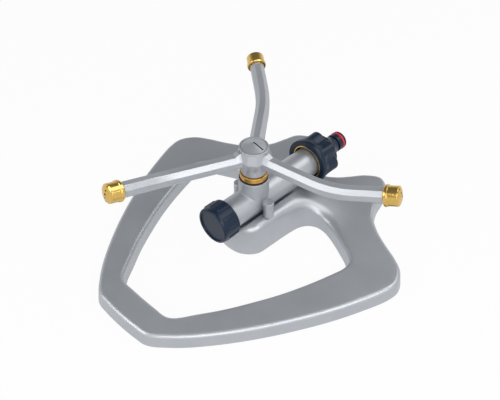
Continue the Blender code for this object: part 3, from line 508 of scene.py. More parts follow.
def base_skin(inset, pitch):
    """The outside of the casting, or its inside when inset is the wall, and its lower edges."""
    shells, brinks, feet = [], [], []
    for side, pick in ((1, 0), (-1, 1)):
        half = through(BASE_STATIONS[:, pick], PER_SPAN)
        edge = np.vstack([half, half[1:-1][::-1] * (-1, 1)])
        ahead = np.roll(edge, -1, axis=0) - np.roll(edge, 1, axis=0)
        inward = unit(np.column_stack([-ahead[:, 1], ahead[:, 0]]) * side)
        rows = base_rim(edge, inward, inset, pick)
        brinks.append(rows[-1])
        feet.append(rows[0])
        shells.append(strip(rows))
    rings = [brink[:, :2] for brink in brinks]
    wide = lattice(lines((*WIDE_X, pitch)), np.arange(*WIDE_Y, pitch))
    wide = wide[(np.abs(wide[:, 0]) > FINE_HALF) | (wide[:, 1] > FINE_BACK) | (wide[:, 1] < FINE_FRONT)]
    fine = [lattice(lines(*LIP_X), np.arange(*span)) for span in (CHANNEL_Y, STEP_Y)]
    extra = np.vstack([wide, *fine])
    extra = extra[within(extra, rings[0]) & ~within(extra, rings[1])]
    extra = clear_of(extra, [ring[::2] for ring in rings], EDGE_MARGIN)
    points = np.vstack([*brinks, at_height(extra, base_height(*extra.T, inset))])
    shells.append((points, sheet_faces(rings[0], rings[1:], extra), points[:, :2]))
    return shells, feet


def set_at(shell, offset):
    """A shell moved by an offset."""
    return shell[0] + offset, shell[1], shell[2]


base_shells, outer_feet = base_skin(0.0, OUTER_PITCH)
inner_shells, inner_feet = base_skin(BASE_WALL, INNER_PITCH)
base_shells += inner_shells
for outer_foot, inner_foot in zip(outer_feet, inner_feet):
    base_shells.append(strip([outer_foot, inner_foot]))
boss_radii = (0.0, CASTING_BOSS - CASTING_BOSS_EDGE, CASTING_BOSS)
for side in (1, -1):
    core, face, wall = (circle(radius, BOSS_SIDES, side * BOSS_X) for radius in boss_radii)
    roof = CASTING_BOSS_TOP - np.maximum(np.abs(wall[:, 0]) - ROOF_BEND, 0.0) * ROOF_SLOPE
    boss_rows = [at_height(core, SCREW_SEAT), at_height(face, SCREW_SEAT)]
    boss_rows += [at_height(wall, SCREW_SEAT + CASTING_BOSS_EDGE), at_height(wall, roof)]
    boss_rows.append(at_height(core, CASTING_BOSS_CORE))
    base_shells.append(strip(boss_rows))
base_shells = [set_at(shell, ON_AXIS) for shell in base_shells]

silver, paint = new_material("silver_paint")
grain = paint.noise(1700.0, 3.0)
cloud = paint.noise(38.0, 4.0)
# Painted shade: near black and not metallic in the hub cap's slot, where the UV map was moved across.
paint_shade = paint.painted_shade_mask()
coat = paint.mix(cloud, (0.385, 0.410, 0.445, 1), (0.445, 0.470, 0.505, 1))
paint.surface(
    {
        "Base Color": paint.mix(paint_shade, coat, (0.008, 0.008, 0.009, 1)),
        "Metallic": 0.70 - paint_shade * 0.70,
        "Roughness": cloud * 0.10 + 0.38,
        "Normal": paint.bump(grain, 0.00003, 0.5),
    }
)
build("cast_base", base_shells, silver, "stand", "base_casting")


# Base screws
# Two plated steel screws driven up through the casting's bosses into the tee, seen only from below.
def dress(node, material):
    """Gives a CAD node that stays in view its material."""
    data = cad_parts[node].data
    data.materials.clear()
    data.materials.append(material)


steel, plating = new_material("screw_steel")
haze = plating.noise(900.0)
plating.surface({"Base Color": (0.58, 0.58, 0.60, 1), "Metallic": 1.0, "Roughness": haze * 0.2 + 0.22})
for node in ("base_screw_right", "base_screw_left"):
    dress(node, steel)


# Water tee
# One painted casting: a tube along the base, threaded at both ends, with an upright collar and two bosses.
# The bosses stand on the pedestal, and the screws hold them from below.
TUBE_RADIUS = 0.0132
TUBE_BACK_RADIUS = 0.0136
TUBE_BORE = 0.0098
TUBE_FRONT = 0.0452
TUBE_BACK = 0.0840
COLLAR_RADIUS = 0.0133
COLLAR_LOW = 0.0600
COLLAR_TOP = 0.0650
COLLAR_BORE = 0.0090
COLLAR_WELL = 0.0560
COLLAR_FLARE = 0.0003
TUBE_TAPER = 0.0080
THREAD_PITCH = 0.001814
THREAD_DEPTH = 0.0009
THREAD_STEP = 0.00023
FRONT_THREAD_END = -0.0345
BACK_THREAD_START = 0.0705
TUBE_COLUMNS = 96
OUTER_ROWS = 34
INNER_ROWS = 24
HOLE_MARGIN = 0.0005
ROUND_ROWS = 5
BOSS_RADIUS = 0.0047
BOSS_FOOT = 0.0313
BOSS_TOP = 0.0468
PILOT_DEPTH = 0.0120
WEB_HALF = 0.0023
WEB_FOOT_HALF = 0.0027
WEB_FOOT = 0.0410
WEB_MIDDLE = 0.0440
WEB_INNER = 0.0118
WEB_OUTER = 0.0152


def axes_at(origin, direction, up):
    """Axes of a turned piece: the third along direction, the first as near as can be to up."""
    third = unit(np.array(direction, dtype=float))
    first = unit(up - third * third.dot(up))
    return np.column_stack([first, np.cross(third, first), third, origin])


def placed(points, axes):
    """Points measured along three axes, put where those axes stand."""
    return points @ axes[:, :3].T + axes[:, 3]


def parabola(start, corner, end, count):
    """Points along the curve that leaves both its ends towards one corner."""
    share = np.linspace(0, 1, count)[:, None]
    return (1 - share) ** 2 * start + 2 * share * (1 - share) * corner + share**2 * end


def rounded(corners):
    """An outline through corners, each a radius, a distance along and how far off its rounding starts."""
    points = np.array([corner[:2] for corner in corners], dtype=float)
    path = [points[:1]]
    for before, here, after, corner in zip(points, points[1:], points[2:], corners[1:]):
        start, end = (here + unit(other - here) * corner[2] for other in (before, after))
        path.append(parabola(start, here, end, ROUND_ROWS) if corner[2] else here[None])
    return np.vstack([*path, points[-1:]])


def ring_groove(wall, floor, middle, half, edge=0):
    """The corners of a sealing ring's groove in a wall, in rising order unless half is negative."""
    low, high = middle - half, middle + half
    return (wall, low, edge), (floor, low, 0), (floor, high, 0), (wall, high, edge)


def refined(path, pitch):
    """The outline with its long stretches split into steps no longer than a pitch."""
    points = [path[:1]]
    for start, end in zip(path, path[1:]):
        count = max(1, math.ceil(np.linalg.norm(end - start) / pitch))
        points.append(start + (end - start) * (np.arange(1, count + 1) / count)[:, None])
    return np.vstack(points)


def turned(path, columns, axes, shape=None):
    """The surface that an outline sweeps when it is turned round an axis.

    A shape, if given, is a function that changes the radius by turn, radius and distance along.
    """
    turn = math.tau * np.arange(columns + 1) / columns
    radius = np.repeat(path[:, :1], columns + 1, axis=1)
    along = np.repeat(path[:, 1:], columns + 1, axis=1)
    if shape:
        radius = shape(np.broadcast_to(turn, radius.shape), radius, along)
    points = np.stack([radius * np.cos(turn), radius * np.sin(turn), along], -1)
    length = np.concatenate([[0.0], np.cumsum(np.linalg.norm(np.diff(path, axis=0), axis=1))])
    return grid(placed(points.reshape(-1, 3), axes).reshape(points.shape), turn / math.tau, length)


def thread(turn, along, start, end, sign):
    """How deep a screw thread cuts: a V that climbs one pitch a turn and runs out at both ends."""
    climb = (along / THREAD_PITCH + sign * turn / math.tau) % 1.0
    fade = np.clip((along - start) / THREAD_PITCH, 0, 1) * np.clip((end - along) / THREAD_PITCH, 0, 1)
    return THREAD_DEPTH * fade * np.clip(1.25 - 2.5 * np.abs(climb - 0.5), 0.0, 1.0)


def tube_radius(along):
    """The tube's radius, which grows evenly by a hair under the collar."""
    step = np.clip((along + TUBE_TAPER) / (2 * TUBE_TAPER), 0.0, 1.0)
    return TUBE_RADIUS + (TUBE_BACK_RADIUS - TUBE_RADIUS) * step


def tube_sheet(radius_at, start, end, hole, rows):
    """The tube's wall from one distance to another, with a hole at its top, meshed flat and rolled up."""
    turns = np.linspace(-math.pi, math.pi, TUBE_COLUMNS + 1)
    seam = np.linspace(start, end, rows + 1)[1:-1]
    front, back = lattice(turns, [start]), lattice(turns[::-1], [end])
    outline = np.vstack([front, lattice([math.pi], seam), back, lattice([-math.pi], seam[::-1])])
    scale = np.array([TUBE_RADIUS, 1.0])
    extra = outside(lattice(turns[1:-1], seam) * scale, [hole * scale], HOLE_MARGIN) / scale
    flat = np.vstack([outline, hole, extra])
    faces = sheet_faces(outline * scale, [hole * scale], extra * scale)
    turn, along = flat.T
    radius = radius_at(along)
    points = np.column_stack([radius * np.cos(turn), radius * np.sin(turn), along])
    return placed(points, TUBE), faces, flat * (1 / math.tau, 1.0)


def on_tube(ring, radius):
    """A ring seen from above, as a hole in the unrolled tube's wall and as points on that wall."""
    x, y = ring.T
    return np.column_stack([np.arcsin(x / radius), y]), at_height(ring, TUBE_Z + np.sqrt(radius**2 - x**2))


def threaded_end(outline, sign):
    """One end of the tube, with its screw thread cut into the outside."""
    path = refined(rounded(outline), THREAD_STEP)
    full = path[:, 0].max()
    start, end = path[:, 1].min(), path[:, 1].max()

    def threaded(turn, radius, along):
        return radius - np.where(radius > full - 0.0001, thread(turn, along, start, end, sign), 0.0)

    return turned(path, TUBE_COLUMNS, TUBE, threaded)


TUBE = axes_at((0.0, AXIS_Y, TUBE_Z), (0, 1, 0), (0, 0, 1))
flare = COLLAR_FLARE * np.sin(np.linspace(0, math.tau, TUBE_COLUMNS, endpoint=False)) ** 2
collar_foot = circle(COLLAR_RADIUS + flare, TUBE_COLUMNS)
outer_hole, foot = on_tube(collar_foot, tube_radius(collar_foot[:, 1]))
inner_hole, well = on_tube(circle(COLLAR_BORE, TUBE_COLUMNS), TUBE_BORE)

collar_rows = [foot]
for share in (0.15, 0.3, 0.5, 0.7, 0.85, 1.0):
    ring = circle(COLLAR_RADIUS + flare * (1 - share) ** 2, TUBE_COLUMNS)
    collar_rows.append(at_height(ring, foot[:, 2] + 1.3 * COLLAR_FLARE * share))
collar_outline = (
    (COLLAR_RADIUS, COLLAR_LOW, 0),
    (COLLAR_RADIUS, COLLAR_TOP, 0.0006),
    (COLLAR_BORE, COLLAR_TOP, 0.0003),
    (COLLAR_BORE, COLLAR_WELL, 0),
)
for radius, height in rounded(collar_outline):
    collar_rows.append(at_height(circle(radius, TUBE_COLUMNS), height))
collar_rows.append(well)

front_end = (
    (TUBE_BORE, -TUBE_FRONT, 0),
    (TUBE_RADIUS, -TUBE_FRONT, 0.0008),
    (TUBE_RADIUS, FRONT_THREAD_END, 0),
)
back_end = (
    (TUBE_BACK_RADIUS, BACK_THREAD_START, 0),
    (TUBE_BACK_RADIUS, TUBE_BACK, 0.0008),
    (TUBE_BORE, TUBE_BACK, 0),
)
tee_shells = [
    set_at(strip(collar_rows), ON_AXIS),
    tube_sheet(tube_radius, FRONT_THREAD_END, BACK_THREAD_START, outer_hole, OUTER_ROWS),
    tube_sheet(lambda along: TUBE_BORE, -TUBE_FRONT, TUBE_BACK, inner_hole, INNER_ROWS),
    threaded_end(front_end, -1),
    threaded_end(back_end, 1),
]

boss = (
    (0.0, BOSS_TOP, 0),
    (BOSS_RADIUS, BOSS_TOP, 0.0007),
    (BOSS_RADIUS, BOSS_FOOT, 0),
    (SCREW_HOLE, BOSS_FOOT, 0),
    (SCREW_HOLE, BOSS_FOOT + PILOT_DEPTH, 0),
    (0.0, BOSS_FOOT + PILOT_DEPTH + 0.001, 0),
)
web_outline = (
    (-WEB_FOOT_HALF, WEB_FOOT, 0),
    (-WEB_HALF, BOSS_TOP - 0.0006, 0.0009),
    (WEB_HALF, BOSS_TOP - 0.0006, 0.0009),
    (WEB_FOOT_HALF, WEB_FOOT, 0),
)
web = np.vstack([rounded(web_outline), [(0.0, WEB_FOOT)]])
for side in (1, -1):
    axis = axes_at((side * BOSS_X, AXIS_Y, 0.0), (0, 0, 1), (1, 0, 0))
    tee_shells.append(turned(rounded(boss), 40, axis))
    ends = []
    for reach, size in ((WEB_INNER, 0.0), (WEB_INNER, 1.0), (WEB_OUTER, 1.0), (WEB_OUTER, 0.0)):
        section = (web - (0.0, WEB_MIDDLE)) * size + (0.0, WEB_MIDDLE)
        ends.append(np.column_stack([np.full(len(web), side * reach), section]))
    tee_shells.append(set_at(strip(ends), ON_AXIS))
build("water_tee", tee_shells, silver, "stand", "tee_body")


# Rotor bearing
# A brass nut screwed into the collar on a rubber gasket. Its bore guides the rotor's spindle past a seal,
# and a plastic washer takes the thrust at each of its ends.
BEARING_RADIUS = 0.0121
BEARING_TOP = 0.0712
BEARING_SPIGOT = 0.0130
GASKET_THICKNESS = 0.0009
SPINDLE_RADIUS = 0.0050
SPINDLE_CLEARANCE = 0.0001
RING_WIRE = 0.00045
SEAL_GROOVE_RISE = 0.0060
LATHE_RINGS = 42000.0

SPIN = axes_at(ON_AXIS, (0, 0, 1), (1, 0, 0))

rubber, sheen = new_material("black_rubber")
bloom = sheen.noise(600.0)
sheen.surface({"Base Color": (0.012, 0.012, 0.013, 1), "Roughness": bloom * 0.2 + 0.5})


def turned_brass(name, bright, worn, dullness):
    """Polished brass from a bright to a worn colour, with fine lathe rings, and painted shade, near black,
    in its jets and recesses.
    """
    material, polish = new_material(name)
    angle = polish.coordinate("UV", "Y") * LATHE_RINGS
    lathe = polish.node("ShaderNodeMath", {"operation": "SINE"}, {0: angle})[0]
    # Painted shade: near black and not metallic where the UV map was moved across, in the jets and the
    # thread ring's recess.
    brass_shade = polish.painted_shade_mask()
    tarnish = polish.noise(220.0, 3.0)
    polish.surface(
        {
            "Base Color": polish.mix(brass_shade, polish.mix(tarnish, bright, worn), (0.006, 0.004, 0.002, 1)),
            "Metallic": 1.0 - brass_shade,
            "Roughness": tarnish * 0.14 + dullness,
            "Normal": polish.bump(lathe, 0.000004, 0.3),
        }
    )
    return material


brass = turned_brass("brass", (0.74, 0.50, 0.16, 1), (0.56, 0.36, 0.09, 1), 0.15)
# The bearing nut's brass: an oranger, duller copy of the brass, its colour a painted reflection of darker
# surroundings.
nut_reflection_brass = turned_brass("nut_brass_painted_reflection", (0.76, 0.43, 0.11, 1), (0.66, 0.35, 0.08, 1), 0.26)

pale, moulded = new_material("pale_plastic")
skin = moulded.noise(500.0)
moulded.surface({"Base Color": (0.66, 0.66, 0.64, 1), "Roughness": skin * 0.15 + 0.4})

nut_low = COLLAR_TOP + 2 * GAP + GASKET_THICKNESS
gasket_outline = (
    (COLLAR_BORE, COLLAR_TOP + GAP, 0),
    (BEARING_RADIUS + 0.0006, COLLAR_TOP + GAP, 0.00035),
    (BEARING_RADIUS + 0.0006, nut_low - GAP, 0.00035),
    (COLLAR_BORE, nut_low - GAP, 0),
    (COLLAR_BORE, COLLAR_TOP + GAP, 0),
)
gasket = turned(rounded(gasket_outline), 64, SPIN)
build("gasket", [gasket], rubber, "stand", "bearing_gasket")

spigot_end = COLLAR_TOP - BEARING_SPIGOT
nut_bore = SPINDLE_RADIUS + SPINDLE_CLEARANCE
groove_radius = nut_bore + 2.1 * RING_WIRE + 2 * GAP
nut_outline = (
    (nut_bore, BEARING_TOP, 0),
    (BEARING_RADIUS, BEARING_TOP, 0.0006),
    (BEARING_RADIUS, nut_low, 0.0003),
    (COLLAR_BORE - GAP, nut_low, 0),
    (COLLAR_BORE - GAP, spigot_end, 0.0004),
    (nut_bore, spigot_end, 0),
    *ring_groove(nut_bore, groove_radius, spigot_end + SEAL_GROOVE_RISE, RING_WIRE + GAP),
    (nut_bore, BEARING_TOP, 0),
)
build("bearing", [turned(rounded(nut_outline), 72, SPIN)], nut_reflection_brass, "stand", "bearing_nut")
dress("spindle_seal", rubber)
dress("spindle", brass)
dress("lower_thrust_washer", pale)
dress("upper_thrust_washer", pale)


# End cap
# A moulded navy plastic cap screwed on the tube's nose end over a rubber washer, with a rim round its face
# and grip bars round its skirt.
CAP_RADIUS = 0.0168
CAP_LENGTH = 0.0176
CAP_FLOOR = 0.0030
CAP_GRIP = 0.0008
CAP_GRIP_COUNT = 11
CAP_GRIP_TURN = math.radians(9.4)
CAP_GRIP_WIDTH = 0.0022
CAP_GRIP_START = 0.30
CAP_GRIP_ROUND = 0.0007
CAP_GRIP_END_ROUND = 0.0009
CAP_EDGE = 0.0014
CAP_SUNK = 0.0012
WASHER_THICKNESS = 0.0016

navy, shell = new_material("navy_plastic")
flow = shell.noise(120.0, 3.0)
pores = shell.noise(2600.0)
shell.surface(
    {
        "Base Color": shell.mix(flow, (0.0022, 0.0105, 0.029, 1), (0.0042, 0.0165, 0.041, 1)),
        "Roughness": flow * 0.12 + 0.29,
        "Specular IOR Level": 0.30,
        "Normal": shell.bump(pores, 0.00002, 0.5),
    }
)

cap_floor = -TUBE_FRONT - 2 * GAP - WASHER_THICKNESS
cap_face = cap_floor - CAP_FLOOR
cap_back = cap_face + CAP_LENGTH
cap_bore = TUBE_RADIUS + GAP
bar_start = cap_face + CAP_LENGTH * CAP_GRIP_START
bar_end = cap_back - CAP_EDGE


def gripped(turn, radius, along):
    """The cap's skirt with its grip bars, each a flat-topped rib with rounded sides and ends."""
    apart = np.abs(((turn - CAP_GRIP_TURN) * CAP_GRIP_COUNT / math.tau + 0.5) % 1.0 - 0.5)
    width = apart * math.tau / CAP_GRIP_COUNT * CAP_RADIUS
    inset = np.minimum(along - bar_start, bar_end - along)
    rise = CAP_GRIP * ease(CAP_GRIP_WIDTH / 2 - width, -CAP_GRIP_ROUND / 2, CAP_GRIP_ROUND / 2)
    rise *= ease(inset, -CAP_GRIP_END_ROUND / 2, CAP_GRIP_END_ROUND / 2)
    screwed = np.abs(radius - cap_bore) < 0.0001
    cut = thread(turn, along, cap_floor + 0.001, cap_back - 0.0004, -1)
    return radius + np.where(radius > CAP_RADIUS - 0.0002, rise, 0.0) + np.where(screwed, cut, 0.0)


cap_outline = (
    (0.0, cap_face + CAP_SUNK, 0),
    (CAP_RADIUS - CAP_EDGE * 2.1, cap_face + CAP_SUNK, 0.0002),
    (CAP_RADIUS - CAP_EDGE * 1.9, cap_face, 0.0003),
    (CAP_RADIUS - CAP_EDGE * 0.7, cap_face, 0.0009),
    (CAP_RADIUS, cap_face + CAP_EDGE, 0.0009),
    (CAP_RADIUS, cap_back, 0.0006),
    (cap_bore, cap_back, 0.0004),
    (cap_bore, cap_floor, 0),
    (0.0, cap_floor, 0),
)
cap = turned(refined(rounded(cap_outline), 0.00032), 288, TUBE, gripped)
build("tube_cap", [cap], navy, "end_cap", "end_cap")
dress("end_cap_washer", rubber)


# Hose inlet
# A navy plastic nut with six lobes on the tube's other end, drawn in to a neck and a connector's nipple.
# A brass thread ring sits in its mouth, a washer and a strainer inside, a red ring in the nipple's groove.
INSERT_WALL = 0.0030
MOUTH_BORE = TUBE_BACK_RADIUS + INSERT_WALL + GAP
MOUTH_START = 0.0695
MOUTH_LENGTH = 0.0045
MOUTH_RADIUS = MOUTH_BORE + 0.0049
LOBE_COUNT = 6
LOBE_TURN = math.radians(-18.0)
LOBE_VALLEY = MOUTH_BORE + 0.0012
LOBE_RADIUS = MOUTH_BORE + 0.0048
LOBE_END = 0.0908
LOBE_RUN_IN = 0.0060
LOBE_ROUNDNESS = 0.8
CHAMBER_END = 0.0960
NECK_RADIUS = 0.0066
NECK_START = 0.1040
NIPPLE_RADIUS = 0.0086
NIPPLE_BORE = 0.0050
NIPPLE_END = 0.1186
SEAL_RING_Y = 0.1146
SEAL_RING_WIRE = 0.0014
SEAL_RING_SIDES = 16
INSERT_LENGTH = 0.0135
INSERT_RECESS = 0.0036
INSERT_RECESS_WIDTH = 0.0013
FILTER_RADIUS = 0.0082

mouth_end = MOUTH_START + MOUTH_LENGTH
insert_start = MOUTH_START + 2 * GAP
insert_end = insert_start + INSERT_LENGTH
washer_end = TUBE_BACK + GAP + WASHER_THICKNESS
cavity_end = washer_end + 2 * GAP + 0.0009
inlet_seat = TUBE_BACK_RADIUS + GAP
stem = NECK_START + 0.0018
barrel = stem + 0.0022
groove = NIPPLE_RADIUS - 1.6 * SEAL_RING_WIRE


def lobed(turn, radius, along):
    """The adaptor's outside: round at the mouth and on the neck, six lobes with deep valleys between."""
    wave = (0.5 + 0.5 * np.cos(LOBE_COUNT * (turn - LOBE_TURN))) ** LOBE_ROUNDNESS
    share = ease(along, mouth_end - 0.0002, mouth_end + LOBE_RUN_IN)
    share *= 1 - ease(along, LOBE_END + 0.0010, NECK_START)
    skin = (radius > MOUTH_BORE + 0.0001) | (along > CHAMBER_END + 0.0001)
    depth = (1 - LOBE_VALLEY / LOBE_RADIUS) * (1 - wave) * share
    return radius * np.where(skin & (along < NECK_START), 1 - depth, 1.0)


adaptor_outline = (
    (MOUTH_BORE, MOUTH_START, 0),
    (MOUTH_RADIUS, MOUTH_START, 0.0012),
    (MOUTH_RADIUS, mouth_end, 0.0009),
    (LOBE_RADIUS - 0.0003, mouth_end + 0.0004, 0.0004),
    (LOBE_RADIUS, LOBE_END, 0.0016),
    (0.0160, LOBE_END + 0.0034, 0.0018),
    (0.0126, LOBE_END + 0.0066, 0.0020),
    (NIPPLE_RADIUS, NECK_START - 0.0010, 0.0030),
    (NIPPLE_RADIUS, stem, 0.0004),
    (NECK_RADIUS, stem, 0.0004),
    (NECK_RADIUS, barrel, 0.0004),
    (NIPPLE_RADIUS, barrel + 0.0006, 0.0003),
    *ring_groove(NIPPLE_RADIUS, groove, SEAL_RING_Y, SEAL_RING_WIRE, 0.0002),
    (NIPPLE_RADIUS, NIPPLE_END - 0.0012, 0.0006),
    (NIPPLE_RADIUS - 0.0012, NIPPLE_END, 0.0003),
    (NIPPLE_BORE, NIPPLE_END, 0.0004),
    (NIPPLE_BORE, CHAMBER_END + 0.002, 0),
    (FILTER_RADIUS + 3 * GAP, CHAMBER_END - 0.001, 0),
    (FILTER_RADIUS + 3 * GAP, cavity_end, 0),
    (inlet_seat, cavity_end, 0),
    (inlet_seat, insert_end + GAP, 0),
    (MOUTH_BORE, insert_end + GAP, 0),
    (MOUTH_BORE, MOUTH_START, 0),
)
adaptor = turned(refined(rounded(adaptor_outline), 0.0008), 240, TUBE, lobed)
build("hose_adaptor", [adaptor], navy, "inlet", "inlet_adaptor")

insert_outline = (
    (MOUTH_BORE - GAP, insert_end, 0),
    (MOUTH_BORE - GAP, insert_start, 0.0003),
    (inlet_seat + INSERT_RECESS_WIDTH, insert_start, 0.0002),
    (inlet_seat + INSERT_RECESS_WIDTH, insert_start + INSERT_RECESS - 0.0006, 0),
    (inlet_seat, insert_start + INSERT_RECESS, 0),
    (inlet_seat, insert_end, 0),
    (MOUTH_BORE - GAP, insert_end, 0),
)


def insert_thread(turn, radius, along):
    """The thread cut into the ring's bore, behind the recess."""
    cut = thread(turn, along, insert_start + INSERT_RECESS - 0.0004, insert_end, 1)
    return radius + np.where(radius < inlet_seat + 0.0001, cut, 0.0)


insert_path = refined(rounded(insert_outline), 0.00028)
ring_points, ring_faces, ring_uv = turned(insert_path, 96, TUBE, insert_thread)
# The ring's recess and threaded bore take painted shade, near black, through their moved UV map.
deep = np.hypot(ring_points[:, 0], ring_points[:, 2] - TUBE_Z) < inlet_seat + INSERT_RECESS_WIDTH + 0.0001
ring_shell = (ring_points, ring_faces, ring_uv + deep[:, None] * (PAINTED_SHADE_UV, 0.0))
build("thread_ring", [ring_shell], brass, "inlet", "thread_insert")

red, cherry = new_material("red_rubber")
colour = cherry.mix(cherry.noise(500.0), (0.78, 0.010, 0.018, 1), (0.64, 0.006, 0.014, 1))
cherry.surface({"Base Color": colour, "Roughness": 0.42})

wire = SEAL_RING_WIRE - GAP
turn = np.linspace(0, math.tau, SEAL_RING_SIDES + 1)
seal_path = np.column_stack([groove + GAP + wire - wire * np.cos(turn), SEAL_RING_Y + wire * np.sin(turn)])
build("nipple_ring", [turned(seal_path, 72, TUBE)], red, "inlet", "nipple_seal_ring")
dress("inlet_washer", rubber)
dress("inlet_filter", pale)


# Rotor casting
# A painted casting: a twelve-sided hub on a round skirt, with three eight-sided arms bent up and sideways.
# It is fixed on the spindle's top, and each arm ends in a spigot for its nozzle.
ARM_COUNT = 3
ARM_TURN = math.radians(127.7)
ARM_FLATS = 0.0125
ARM_HUB_Z = 0.0861
ARM_BEND_R = 0.0767
ARM_BEND_Z = 0.0883
ARM_TIP_R = 0.1178
ARM_TIP_Z = 0.0990
ARM_TIP_LEAD = math.radians(5.5)
ARM_BEND_ROUND = 0.0180
ARM_BEND_ROWS = 15
SHOULDER_REACH = np.array((0.0086, 0.0122, 0.0138, 0.0151, 0.0162, 0.0172, 0.0182))
SHOULDER_RISE = np.array((0.0034, 0.0033, 0.0029, 0.0022, 0.0013, 0.0005, 0.0))
HUB_SIDES = 12
HUB_WAIST = 0.0150
HUB_TOP_RADIUS = 0.0124
HUB_BOTTOM_RADIUS = 0.0114
HUB_TOP_Z = 0.0965
HUB_WAIST_Z = 0.0876
HUB_FACET_Z = 0.0784
HUB_CHAMBER = 0.0078
HUB_CREASE = math.radians(22)
HUB_EDGE = 0.00035
SKIRT_RADIUS = 0.0110
SPINDLE_TOP = 0.0815
THRUST_RADIUS = 0.0085
THRUST_THICKNESS = 0.0010
SPIGOT_RADIUS = 0.0055
SPIGOT_ROOT = -0.0020
SPIGOT_LENGTH = 0.0088

skirt_low = BEARING_TOP + 2 * GAP
thrust_top = skirt_low + THRUST_THICKNESS
chamber_low = SPINDLE_TOP - 0.0015
arm_start = HUB_CHAMBER * 0.75


def heading(turn):
    """The level direction at a turn from the X axis."""
    return np.array([math.cos(turn), math.sin(turn), 0.0])


def arm_line(turn):
    """An arm's centre line: out from the hub, round the bend as a parabola and on to the tip."""
    root = np.array([0, 0, ARM_HUB_Z]) + heading(turn) * arm_start
    bend = heading(turn) * ARM_BEND_R + (0, 0, ARM_BEND_Z)
    tip = heading(turn + ARM_TIP_LEAD) * ARM_TIP_R + (0, 0, ARM_TIP_Z)
    outward = unit(bend - root)
    shoulder = root + outward * (SHOULDER_REACH[:, None] - arm_start)
    after = bend + unit(tip - bend) * ARM_BEND_ROUND
    curve = parabola(bend - outward * ARM_BEND_ROUND, bend, after, ARM_BEND_ROWS)
    return np.vstack([shoulder, curve, tip]) + ON_AXIS


def octagon_bar(line, flats, rise):
    """An eight-sided bar along a line, flat above, below and at its sides, closed at both ends.

    The two corners of each row's top face stand higher by that row's rise.
    """
    ahead = np.gradient(line, axis=0)
    ahead[0], ahead[-1] = line[1] - line[0], line[-1] - line[-2]
    ahead = unit(ahead)
    side = unit(np.cross(ahead, (0, 0, 1)))
    above = np.cross(side, ahead)
    turn = math.pi / 8 + math.pi / 4 * np.arange(8)
    corner = flats / 2 / math.cos(math.pi / 8)
    section = corner * (side[:, None] * np.cos(turn)[:, None] + above[:, None] * np.sin(turn)[:, None])
    rows = line[:, None] + section
    rows[:, 1:3, 2] += rise[:, None]
    ends = np.repeat(line[[0, -1], None], 8, axis=1)
    return strip([ends[0], *rows, ends[1]])


def twelve_sided(turn, radius, along):
    """Flat facets on the hub above its skirt, with the turn counted from a corner between two of them."""
    face = turn % (math.tau / HUB_SIDES) - math.pi / HUB_SIDES
    flat = math.cos(math.pi / HUB_SIDES) / np.cos(face)
    return radius * np.where((along > HUB_FACET_Z - 0.0001) & (radius > SKIRT_RADIUS + 0.0002), flat, 1.0)


hub_outline = (
    (HUB_CHAMBER, HUB_TOP_Z, 0),
    (HUB_TOP_RADIUS, HUB_TOP_Z, 0),
    (HUB_WAIST, HUB_WAIST_Z, 0),
    (HUB_BOTTOM_RADIUS, HUB_FACET_Z, 0),
    (SKIRT_RADIUS, HUB_FACET_Z - 0.0004, 0),
    (SKIRT_RADIUS, skirt_low, 0),
    (THRUST_RADIUS + GAP, skirt_low, 0),
    (THRUST_RADIUS + GAP, thrust_top, 0),
    (SPINDLE_RADIUS + GAP, thrust_top, 0),
    (SPINDLE_RADIUS + GAP, chamber_low, 0),
    (HUB_CHAMBER, chamber_low, 0),
    (HUB_CHAMBER, HUB_TOP_Z, 0),
)
spigot_outline = (
    (0.0, SPIGOT_ROOT, 0),
    (SPIGOT_RADIUS, SPIGOT_ROOT, 0),
    (SPIGOT_RADIUS, SPIGOT_LENGTH, 0),
    (0.0, SPIGOT_LENGTH, 0),
)
hub_axes = axes_at(ON_AXIS, (0, 0, 1), heading(ARM_TURN - math.pi / HUB_SIDES))
rotor_shells = [turned(rounded(hub_outline), HUB_SIDES * 4, hub_axes, twelve_sided)]
nozzle_axes = []
for index in range(ARM_COUNT):
    line = arm_line(ARM_TURN + math.tau * index / ARM_COUNT)
    rise = np.zeros(len(line))
    rise[: len(SHOULDER_RISE)] = SHOULDER_RISE
    rotor_shells.append(octagon_bar(line, ARM_FLATS, rise))
    nozzle_axes.append(axes_at(line[-1], line[-1] - line[-2], (0, 0, 1)))
    rotor_shells.append(turned(rounded(spigot_outline), 48, nozzle_axes[-1]))
build("rotor_arms", rotor_shells, silver, "rotor", "rotor_casting", HUB_CREASE, HUB_EDGE)


# Hub cap
# A painted conical plug pressed into the hub's top over a sealing ring, with one radial slot for a coin.
CAP_CONE_HEIGHT = 0.0042
CAP_RIM_HEIGHT = 0.0008
CAP_SPIGOT = 0.0038
CAP_SEAL_DEPTH = 0.0020
CONE_RADIUS = 0.0108
CONE_RINGS = (0.0012, 0.0030, 0.0055, 0.0080, 0.0104)
APEX_ROUND = 0.0006
SLOT_START = -0.0006
SLOT_END = 0.0098
SLOT_WIDTH = 0.0012
SLOT_FLOOR = 0.0004
SLOT_STEPS = 14
SLOT_MARGIN = 0.0003

plug_low = HUB_TOP_Z + GAP
plug_rim = plug_low + CAP_RIM_HEIGHT
plug_spigot = HUB_CHAMBER - GAP
plug_groove = plug_spigot - 2 * RING_WIRE - GAP


def cone_height(x, y):
    """A cone from the rim to an apex rounded as a hyperbola."""
    reach = np.sqrt(x * x + y * y + APEX_ROUND**2) - APEX_ROUND
    return plug_rim + CAP_CONE_HEIGHT * (1 - reach / (HUB_TOP_RADIUS - APEX_ROUND))


def painted_shade_strip(rows, axes):
    """A strip set on axes, with its UV map moved to where a finish takes painted shade."""
    points, faces, uv = strip([placed(row, axes) for row in rows])
    return points, faces, uv + (PAINTED_SHADE_UV, 0.0)


